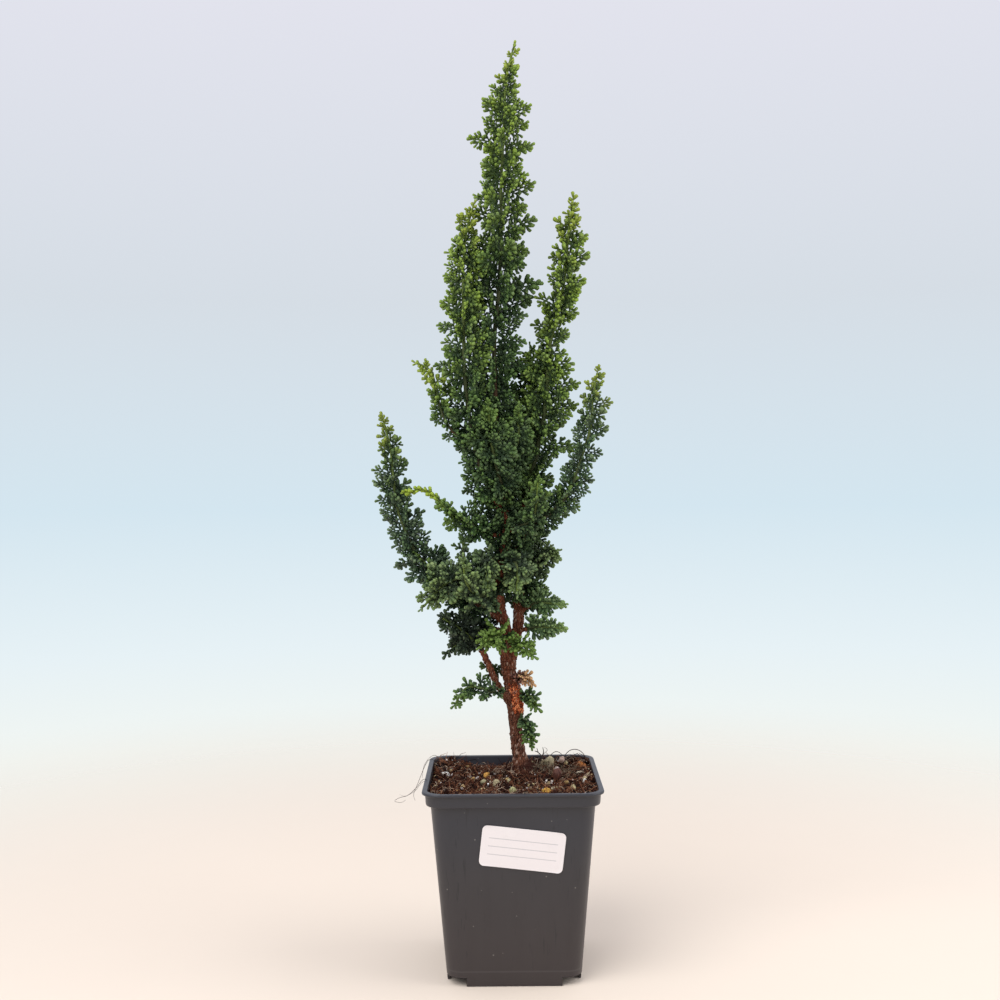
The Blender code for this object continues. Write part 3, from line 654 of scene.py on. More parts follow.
def makePot(p):
    wall = p["wall"]
    floorTop = p["floorUnder"] + wall
    inner = p["collarHalf"] - wall
    shoulder = p["collarBottom"] + wall
    rimFoot = p["height"] - p["rimThick"]
    outline = roundedProfile([
        (bodyHalf(p["floorUnder"]) - wall, p["floorUnder"], 0.3), (p["bodyFootHalf"] - wall, 0, 0.25),
        (p["bodyFootHalf"], 0, 0.5), (p["bodyTopHalf"], p["collarBottom"] - 0.1, 0.7),
        (p["collarHalf"] - 0.3, p["collarBottom"], 1.3), (p["collarHalf"] + 0.2, rimFoot - 0.3, 1.0),
        (p["rimHalf"], rimFoot, 0.7), (p["rimHalf"] - 0.05, p["height"], 1.0), (inner, p["height"], 0.7),
        (inner, shoulder, 0.8), (bodyHalf(p["collarBottom"]) - wall, shoulder - 0.2, 1.0),
        (bodyHalf(floorTop) - wall, floorTop, 1.5)])
    # the long straight runs get rings between, so that the walls can sink in a touch
    full = []
    for a, b in zip(outline, outline[1:] + outline[:1]):
        full.append(a)
        if abs(b.y - a.y) > 20:
            full += [a.lerp(b, k / p["wallSteps"]) for k in range(1, p["wallSteps"])]
    points = []
    for half, height in full:
        inwards = p["bodyTopHalf"] - half if height > p["collarBottom"] else bodyHalf(height) - half
        share = min(1.0, height / p["collarBottom"])
        corner = p["cornerFoot"] + (p["cornerTop"] - p["cornerFoot"]) * share - max(0.0, inwards)
        ring = squareRing(half, corner, height, p["cornerSteps"], p["sideSteps"])
        bow = p["wallBow"] * math.sin(math.pi * share)
        for point in ring:
            flat = min(abs(point.x), abs(point.y)) / half
            point.xy *= 1 - bow * (1 - flat * flat) / half * (1 if flat < 0.75 else 0)
        points += ring
    pot = shapeFrom("nurseryPot", points, ringFaces(len(full), len(ring)))

    trim(pot, [prism(disc(0, 0, p["centreFoot"]), 0, floorTop - 0.3)], "UNION")
    tools = []
    for i, j in ((-1, -1), (-1, 1), (1, -1), (1, 1)):
        left, right = sorted((i * p["sideFootHalf"], i * p["rimHalf"]))
        near, far = sorted((j * p["sideFootHalf"], j * p["rimHalf"]))
        tools.append(prism(((left, near), (right, near), (right, far), (left, far)), -5, p["cornerLift"]))
        drain = disc(i * p["drainPlace"], j * p["drainPlace"], p["drainRadius"])
        tools.append(prism(drain, 0, p["drainDepth"]))
    trim(pot, tools, "DIFFERENCE")
    pot.data.shade_smooth()
    pot.data.set_sharp_from_angle(angle=math.radians(p["sharpAngle"]))
    pot.data.materials.clear()
    pot.data.materials.append(blackPlastic())
    settle(pot, ["pot"])


print("pot")
makePot(potSizes)


# label: a blank white sticker with thin ruled lines

labelSizes = {
    "width": 50.5, "height": 25.0, "thick": 0.28, "corner": 3.0, "x": 5.4, "z": 85.5, "turn": -6.7,
    "gap": 0.3, "lift": 2.1, "liftFrom": 1.65, "wave": 0.05, "columns": 40, "rows": 20,
    "lines": (0.30, 0.50, 0.70),  # shares of the height
}


def stickerPaper(s):
    f = Finish("stickerPaper")
    u = f.attribute("across")
    v = f.attribute("up")
    marks = sum(1 - f.step((v - level).run("ABSOLUTE"), 0.006, 0.012) for level in s["lines"])
    inside = f.step(u, 0.085, 0.09) * (1 - f.step(u, 0.91, 0.915))
    grime = f.step(f.grain(6, 5, 0.65), 0.55, 0.8)
    tone = f.layered(f.blend(f.grain(0.35, 3), (0.74, 0.685, 0.675), (0.80, 0.74, 0.73)),
                     (grime * 0.25, (0.60, 0.55, 0.52)), (marks * inside * 0.55, (0.30, 0.29, 0.31)))
    return f.done(tone, 0.48, 0.4, f.relief(f.grain(1.6, 2), 0.05))


def makeLabel(s):
    lean = math.atan((potSizes["bodyTopHalf"] - potSizes["bodyFootHalf"]) / potSizes["collarBottom"])
    stand = Matrix.Rotation(math.pi / 2 + lean, 4, "X") @ Matrix.Rotation(math.radians(s["turn"]), 4, "Z")
    seat = Vector((s["x"], -bodyHalf(s["z"]) - s["gap"] / math.cos(lean), s["z"]))
    rows, columns, corner = s["rows"], s["columns"], s["corner"]
    halfWidth = s["width"] / 2
    points, across, up = [], [], []
    for side in (s["thick"], 0.0):
        for j in range(rows + 1):
            v = 0.5 - 0.5 * math.cos(math.pi * (j / rows))
            y = (v - 0.5) * s["height"]
            beyond = max(0.0, abs(y) - (s["height"] / 2 - corner))
            room = halfWidth - corner + math.sqrt(max(0.0, corner ** 2 - beyond ** 2))
            for i in range(columns + 1):
                u = i / columns
                x = (u - 0.5) * s["width"] * room / halfWidth
                out = abs(u - 0.5) * 2 + abs(v - 0.5) * 2  # 2 at the corners, which lift a little
                curl = s["lift"] * max(0.0, out - s["liftFrom"]) ** 2
                wave = s["wave"] * bumpy(x * 0.12, y * 0.16, 1.0, 0)
                points.append(stand @ Vector((x, y, side + curl + max(0.0, wave))) + seat)
                across.append(u)
                up.append(v)
    wide = columns + 1
    layer = wide * (rows + 1)
    faces = gridFaces(rows, columns)
    faces += [(layer + a, layer + d, layer + c, layer + b) for a, b, c, d in faces]
    edge = list(range(wide)) + [j * wide + columns for j in range(1, rows + 1)]
    edge += [rows * wide + i for i in range(columns - 1, -1, -1)] + [j * wide for j in range(rows - 1, 0, -1)]
    faces += [(a, layer + a, layer + b, b) for a, b in zip(edge, edge[1:] + edge[:1])]
    label = shapeFrom("sticker", points, faces, stickerPaper(s))
    storeValues(label, "across", across)
    storeValues(label, "up", up)
    label.data.set_sharp_from_angle(angle=math.radians(60))
    settle(label, ["label"])


print("label")
makeLabel(labelSizes)


# soil, in millimetres

soilSizes = {
    "level": 112.5, "mound": 6.5, "moundWidth": 22.0, "slope": 1.2, "crumbs": 0.8, "hole": 3.0,
    "trunk": (6.0, 12.0), "gap": 0.3, "shoulder": 2.0, "rings": 46, "cornerSteps": 12, "sideSteps": 30,
    "fine": 1.15, "bank": 3.0, "bankFrom": 34, "bankTo": 50,  # from the middle
    "margin": 0.25,  # between the loose bits and the collar
}


def soilHeight(x, y):
    s = soilSizes
    away = math.hypot(x - s["trunk"][0], y - s["trunk"][1])
    mound = s["mound"] * math.exp(-(away / s["moundWidth"]) ** 2)
    slope = s["slope"] * (x - y) / potSizes["rimHalf"]
    crumbs = math.sin(0.31 * x + 1.2) * math.cos(0.27 * y) + 0.75 * math.sin(0.53 * x - 0.41 * y)
    return s["level"] + mound + slope + crumbs * s["crumbs"]


def soilTop(x, y):
    # the part's own height with finer crumbs, banked up loosely against the walls, less so at the back left
    s = soilSizes
    fine = bumpy(x * 0.35, y * 0.35, 0.0, 1) + 0.7 * bumpy(x * 0.9, y * 0.9, 0.0, 2)
    edge = smooth01(s["bankFrom"], s["bankTo"], max(abs(x), abs(y)))
    hollow = math.exp(-((x + 14) / 16) ** 2) * smooth01(20, 45, y)
    corner = smooth01(0, 45, x) * smooth01(0, 45, y)
    left = smooth01(16, 42, -x) * smooth01(12, 45, y)
    bank = s["bank"] * edge * (1 - 0.9 * hollow) * (1 + 0.5 * corner + 1.3 * left)
    return soilHeight(x, y) + s["fine"] * fine + bank


def peat():
    f = Finish("peat")
    clumps = f.grain(3.0, 6, 0.7)
    tone = f.ramp(clumps * 0.7 + f.attribute("tint") * 0.3, [
        (0.25, (0.005, 0.0018, 0.0012)), (0.50, (0.015, 0.005, 0.003)), (0.66, (0.045, 0.016, 0.009)),
        (0.8, (0.14, 0.062, 0.034))])
    return f.done(tone, 1.0, 0.05, f.relief(f.grain(0.8, 4, 0.6), 0.5, below=f.relief(clumps, 1.2)))


def stuff(name, rough, grainSize, depth, *stops, shine=0.3):
    # a finish for loose bits: its colour drawn by each bit's own tint, with some grain
    f = Finish(name)
    speckle = f.grain(grainSize, 4, 0.6)
    tone = f.ramp(f.attribute("tint") * 0.75 + speckle * 0.25, stops)
    tone = f.blend(f.step(speckle, 0.5, 0.8) * 0.35, tone, tuple(c * 0.4 for c in stops[0][1]))
    return f.done(tone, rough, shine, f.relief(speckle, depth))


def lump(name, seed, detail, flat, rough, finish):
    # a rough pebble about 1 mm across
    def form(spot):
        x, y, z = spot / mm * 2.2
        spot *= 1 + rough * bumpy(x, y, z, seed)
        spot.z *= flat
        return spot
    return lumpFrom(name, detail, 0.5 * mm, form, finish)


def strip(name, length, width, bend, seed, finish, sides=3, stations=4):
    # a thin bent fibre or chip about its middle, lying along Y
    rng = random.Random(seed)
    swing = [rng.uniform(-1, 1) * bend for _ in range(3)]
    points = []
    for i in range(stations):
        t = i / (stations - 1) - 0.5
        centre = Vector((swing[0] * length * math.sin(3.1 * t + seed), t * length,
                         length * (swing[1] * (t * t - 0.1) + swing[2] * math.sin(5 * t) * 0.3)))
        thick = width * (0.35 + 0.65 * math.cos(math.pi * t * 0.95))
        points += [centre + Vector((thick * math.cos(angle), 0, 0.6 * thick * math.sin(angle)))
                   for angle in angles(sides)]
    made = shapeFrom(name, points, ringFaces(stations, sides), finish)
    shape = bmesh.new()
    shape.from_mesh(made.data)
    bmesh.ops.recalc_face_normals(shape, faces=shape.faces)
    shape.to_mesh(made.data)
    shape.free()
    return made


def strips(name, seed, count, length, width, bend, finish, **more):
    return [strip(f"{name}{i}", length, width, bend, seed + i, finish, **more) for i in range(count)]


def lumps(name, seed, detail, flat, rough, finish):
    return [lump(f"{name}{i}", seed + i, detail, flat, rough, finish) for i in range(4)]


def makeSoil(s):
    p = potSizes
    steps = s["cornerSteps"], s["sideSteps"]

    def inside(height):
        return squareRing(bodyHalf(height) - p["wall"] - s["gap"], p["cornerTop"], height, *steps)

    top = p["collarBottom"] + p["wall"] + 0.4
    edge = squareRing(p["collarHalf"] - p["wall"] - s["gap"], p["cornerTop"], top, *steps)
    points = inside(p["floorUnder"] + p["wall"] + s["gap"]) + inside(p["collarBottom"] - s["shoulder"]) + edge
    middle = Vector((*s["trunk"], 0))
    for i in range(s["rings"]):
        share = 1 - (i / (s["rings"] - 1)) ** 0.85
        for outer in edge:
            ray = Vector((outer.x, outer.y, 0)) - middle
            spot = middle + ray.normalized() * s["hole"] + ray * (1 - s["hole"] / ray.length) * share
            points.append(Vector((spot.x, spot.y, soilTop(spot.x, spot.y))))
    soil = shapeFrom("pottingSoil", points, ringFaces(s["rings"] + 3, len(edge)), peat())
    storeValues(soil, "tint")
    soil.data.set_sharp_from_angle(angle=math.radians(50))
    return soil


# what lies on the soil: how many per square centimetre, sizes in millimetres, and how far it stands up
strewn = {
    "crumbs": {"density": 15, "smallest": 0.8, "largest": 4.0, "tilt": 1.6, "lift": 0.28},
    "fibres": {"density": 26, "smallest": 0.7, "largest": 2.0, "tilt": 0.8, "lift": 0.8},
    "paleFibres": {"density": 11, "smallest": 0.5, "largest": 1.5, "tilt": 0.7, "lift": 0.9},
    "chips": {"density": 2.0, "smallest": 0.6, "largest": 1.4, "tilt": 0.6, "lift": 0.9},
    "perlite": {"density": 2.4, "smallest": 0.6, "largest": 2.2, "tilt": 3.1, "lift": 0.25},
    "stones": {"density": 1.4, "smallest": 0.9, "largest": 3.2, "tilt": 3.1, "lift": 0.22},
}
mossPatch = {
    "place": (24.0, 20.0), "reach": (22.0, 17.0), "height": 3.0, "sunk": 0.6, "steps": 10, "sides": 28,
    "fibres": {"density": 72, "smallest": 0.5, "largest": 1.4, "tilt": 1.1, "lift": 0.8, "seed": 77,
               "lowest": 0.1},
}
# single things that the photograph shows: place, size, colour and how far the middle stands up
landmarks = {
    "yellowStone": ((20.7, -32.0), (6.8, 5.0, 5.4), (0.66, 0.36, 0.05), 3.0),
    "brownBulb": ((28.5, 0.0), (5.6, 5.6, 9.0), (0.12, 0.042, 0.028), 4.2),
    "bulbTop": ((28.5, 0.3), (3.0, 3.0, 3.0), (0.50, 0.40, 0.36), 7.4),
    "greenTanStone": ((0.0, -32.0), (4.8, 3.8, 4.2), (0.44, 0.42, 0.20), 3.2),
    "pinkChip": ((6.0, -36.0), (4.4, 3.2, 2.8), (0.60, 0.47, 0.36), 2.6),
    "creamStone": ((-18.5, -20.0), (5.4, 4.0, 4.0), (0.62, 0.50, 0.27), 1.2),
    "goldStone": ((-31.0, -9.0), (4.4, 3.6, 3.6), (0.58, 0.42, 0.20), 1.2),
    "paleGrit": ((-34.0, 1.0), (3.2, 2.8, 2.4), (0.62, 0.55, 0.42), 1.0),
    "greyClod": ((-18.0, -2.0), (5.4, 4.4, 4.4), (0.30, 0.27, 0.15), 1.0),
    "tanClod": ((-10.0, -12.0), (4.6, 4.0, 6.2), (0.40, 0.33, 0.19), 1.6),
    "orangeStone": ((-16.0, 11.0), (5.0, 3.8, 4.2), (0.66, 0.34, 0.07), 1.8),
    "whiteBead": ((-22.0, 11.0), (3.6, 3.0, 3.2), (0.80, 0.78, 0.74), 1.6),
    "whiteCrumb": ((-26.0, 18.0), (3.0, 2.4, 2.8), (0.78, 0.74, 0.68), 1.4),
    "whitePerlite": ((-44.0, 20.0), (8.0, 3.8, 3.4), (0.80, 0.78, 0.74), 1.2),
    "whiteChip": ((45.0, -16.0), (2.6, 2.4, 4.6), (0.80, 0.77, 0.70), 2.6),
    "creamGrit": ((25.0, -24.0), (3.4, 3.0, 3.0), (0.64, 0.55, 0.36), 1.6),
    "tanStone": ((37.0, -30.0), (3.6, 3.2, 4.4), (0.50, 0.42, 0.22), 3.0),
    "pinkStone": ((33.5, 40.0), (4.2, 3.6, 4.6), (0.56, 0.40, 0.32), 5.0),
    "creamShell": ((44.5, 15.0), (5.6, 3.2, 3.2), (0.70, 0.62, 0.46), 1.4),
    "creamTuft": ((25.0, 37.0), (7.0, 4.6, 7.0), (0.50, 0.42, 0.25), 6.2),
    "creamTuftToo": ((20.5, 38.0), (5.0, 4.0, 5.0), (0.40, 0.32, 0.18), 4.4),
    "orangeBits": ((46.0, 31.0), (8.0, 4.6, 4.4), (0.50, 0.17, 0.035), 2.4),
}


def makeLooseBits(soil):
    warm = stuff("barkCrumbs", 0.95, 0.5, 0.3, (0.15, (0.006, 0.0022, 0.0016)),
                 (0.55, (0.018, 0.006, 0.0038)), (0.9, (0.12, 0.048, 0.025)), shine=0.1)
    rust = stuff("rustyFibre", 0.9, 0.6, 0.1, (0.15, (0.014, 0.004, 0.0028)), (0.55, (0.060, 0.016, 0.009)),
                 (0.9, (0.30, 0.13, 0.065)), shine=0.1)
    straw = stuff("strawFibre", 0.8, 0.6, 0.1, (0.2, (0.26, 0.14, 0.08)), (0.8, (0.70, 0.55, 0.40)))
    white = stuff("perlite", 0.8, 0.4, 0.2, (0.2, (0.62, 0.58, 0.54)), (0.8, (0.88, 0.87, 0.85)))
    tan = stuff("tanStone", 0.75, 0.7, 0.2, (0.15, (0.30, 0.22, 0.10)), (0.45, (0.50, 0.40, 0.22)),
                (0.6, (0.36, 0.34, 0.20)), (0.85, (0.62, 0.33, 0.08)))
    kinds = {
        "crumbs": lumps("crumb", 0, 1, 0.75, 0.5, warm), "fibres": strips("fibre", 0, 6, 7, 0.17, 0.6, rust),
        "paleFibres": strips("straw", 20, 4, 6, 0.15, 0.6, straw),
        "chips": strips("chip", 40, 4, 4.5, 0.8, 0.2, warm, sides=4),
        "perlite": lumps("perlite", 60, 1, 0.85, 0.35, white), "stones": lumps("stone", 80, 2, 0.8, 0.3, tan)}
    return [strew(kind, newObject("carrier", soil.data.copy()), parts, seed=10 * number + 3, lowest=0.35,
                  **strewn[kind]) for number, (kind, parts) in enumerate(kinds.items())]


def makeMoss(s):
    mossy = stuff("mossyFibre", 0.9, 0.6, 0.1, (0.2, (0.035, 0.028, 0.018)), (0.55, (0.12, 0.090, 0.052)),
                  (0.9, (0.44, 0.34, 0.23)))
    points = []
    for i in range(s["steps"] + 1):
        share = i / s["steps"]
        for angle in angles(s["sides"]):
            x = s["place"][0] + s["reach"][0] * share * math.cos(angle)
            y = s["place"][1] + s["reach"][1] * share * math.sin(angle)
            swell = s["height"] * (1 - share * share) * (0.7 + 0.6 * bumpy(x * 0.2, y * 0.2, 0.0, 5))
            points.append(Vector((x, y, soilTop(x, y) - s["sunk"] + swell)))
    faces = [(a, d, c, b) for a, b, c, d in ringFaces(s["steps"] + 1, s["sides"], closed=False)]
    bed = shapeFrom("mossBed", points, faces)
    return strew("moss", bed, strips("moss", 120, 6, 5.5, 0.14, 0.8, mossy), **s["fibres"])


landmarkLook = {
    "facets": 2.6, "rough": 0.26, "fine": 0.16, "turn": 0.7, "lean": 0.25, "dark": 0.40, "light": 1.25,
}


def makeLandmark(number, name, place, size, colour, lift):
    s = landmarkLook
    f = Finish(name)
    speckle = f.grain(1.0, 5, 0.65)
    tone = f.blend(f.step(speckle, 0.35, 0.70), tuple(s["dark"] * c for c in colour),
                   tuple(min(1.0, s["light"] * c) for c in colour))
    finish = f.done(tone, 0.7, 0.35, f.relief(speckle, 0.4))

    def form(spot):
        x, y, z = spot * s["facets"]
        fine = s["fine"] * bumpy(3 * x, 3 * y, 3 * z, number)
        spot *= 1 + s["rough"] * bumpy(x, y, z, 3 * number) + fine
        if name == "brownBulb":
            spot.xy *= 1 - 0.5 * smooth01(0.1, 0.6, spot.z)
        return spot

    lie = Matrix.Translation(Vector((*place, soilTop(*place) + lift)))
    turn = Matrix.Rotation(s["turn"] * number, 4, "Z")
    turn = turn @ Matrix.Rotation(s["lean"] * math.sin(number * 2.1), 4, "X")
    stance = Matrix.Scale(mm, 4) @ lie @ turn @ Matrix.Diagonal((*size, 1))
    return lumpFrom(name, 3, 0.5, form, finish, stance)


def keepInside(piece):
    # bits that lie in the pot don't pass through its collar
    p = potSizes
    half = (p["collarHalf"] - p["wall"] - soilSizes["margin"]) * mm
    straight = half - p["cornerTop"] * mm
    for vert in piece.data.vertices:
        x, y = vert.co.x, vert.co.y
        over = Vector((max(0.0, abs(x) - straight), max(0.0, abs(y) - straight)))
        if over.length > half - straight:
            over = over.normalized() * (half - straight)
            vert.co.x = math.copysign(min(abs(x), straight) + over.x, x)
            vert.co.y = math.copysign(min(abs(y), straight) + over.y, y)


# thin curly rootlets and twigs, each with its thickness and its course in millimetres
rootlets = {
    "overLeftRim": (0.16, ((-46, 20, 116), (-50, 22, 123), (-54, 18, 125), (-57, 12, 121), (-60, 6, 114),
                           (-63, 2, 107), (-62, 0, 103))),
    "overLeftRimToo": (0.13, ((-44, 24, 117), (-49, 24, 126), (-53, 20, 126.5), (-57, 15, 122),
                              (-58, 10, 115))),
    "leftCurl": (0.14, ((-50, -14, 116), (-55, -18, 121), (-60, -20, 116), (-65, -22, 112), (-70, -24, 111),
                        (-73, -24, 109), (-69, -26, 108.5), (-66, -26, 110))),
    "leftThread": (0.10, ((-51, -8, 116), (-56, -12, 118), (-61, -15, 113), (-67, -16, 110),
                          (-71, -15, 111))),
    "backArcWide": (0.28, ((35, 44, 115), (36, 46, 121), (40, 47, 124.5), (45, 47, 124.5), (49, 46, 121),
                           (50, 44, 115))),
    "backArcNarrow": (0.22, ((24, 44, 116), (26, 46, 121), (30, 47, 123.5), (34, 46, 121.5), (36, 44, 116))),
    "backWisp": (0.16, ((20, 40, 116), (21, 43, 122), (24, 45, 125), (22, 46, 127))),
    "darkTwig": (0.42, ((19, 24, 115), (18.5, 24, 121), (19.5, 24, 125), (17.3, 24, 128), (15, 24, 129))),
    "darkTwigFork": (0.34, ((19.4, 24, 124.5), (20.8, 24, 128), (20.3, 24, 131.5))),
    "darkTwigSpur": (0.26, ((17.3, 24, 128), (16.4, 24, 131))),
}


def makeRootlets():
    finish = stuff("dryRootlet", 0.8, 1.0, 0.05, (0.2, (0.05, 0.035, 0.03)), (0.8, (0.14, 0.09, 0.07)))
    tubes = []
    for name, (radius, route) in rootlets.items():
        path = smoothRoute(route, 0.8)

        def taper(i, angle):
            share = min(1, 0.15 + 0.85 * i / (len(path) - 1))
            return radius * (0.45 + 0.55 * math.sin(math.pi * share) ** 0.5)
        tubes.append(tubeFrom(name, path, taper, 6, finish))
    settle(joined("rootletsAndTwig", tubes))


print("soil")
soil = makeSoil(soilSizes)
bits = makeLooseBits(soil) + [makeMoss(mossPatch)]
bits += [makeLandmark(number, name, *row) for number, (name, row) in enumerate(landmarks.items())]
cover = joined("soilCover", bits)
keepInside(cover)
settle(soil, ["soil"])
settle(cover)
makeRootlets()


# the growth plan, in millimetres: each shoot's stem, the height where it leaves it, its bare length, how
# thick its foot is, how far its sprays stand out, the share of it over which they shorten, their number, and
# its course

trunkRoute = (
    (6, 12, 88), (6, 12, 105), (6, 12, 121), (3, 11, 142), (2, 10, 162), (0, 9, 176), (-3, 8, 194),
    (-3, 7, 211), (-7, 5, 227), (-7, 3, 246), (-4, 2, 265), (-3, 1, 285), (-5, 0, 307), (-6, 0, 321))
trunkRadii = (
    (88, 6.4), (92, 7.0), (112, 7.2), (116.5, 7.0), (121, 5.2), (129, 4.3), (145, 4.0), (158, 4.5),
    (170, 4.8), (184, 4.3), (198, 3.6), (211, 3.1), (246, 2.9), (285, 2.5), (321, 2.0))
usualShoot = {"stem": "trunk", "wood": 7, "foot": 1.1, "taper": 0.4, "tone": "green", "habit": "column"}
onRight = {"stem": "right_column_shoot"}

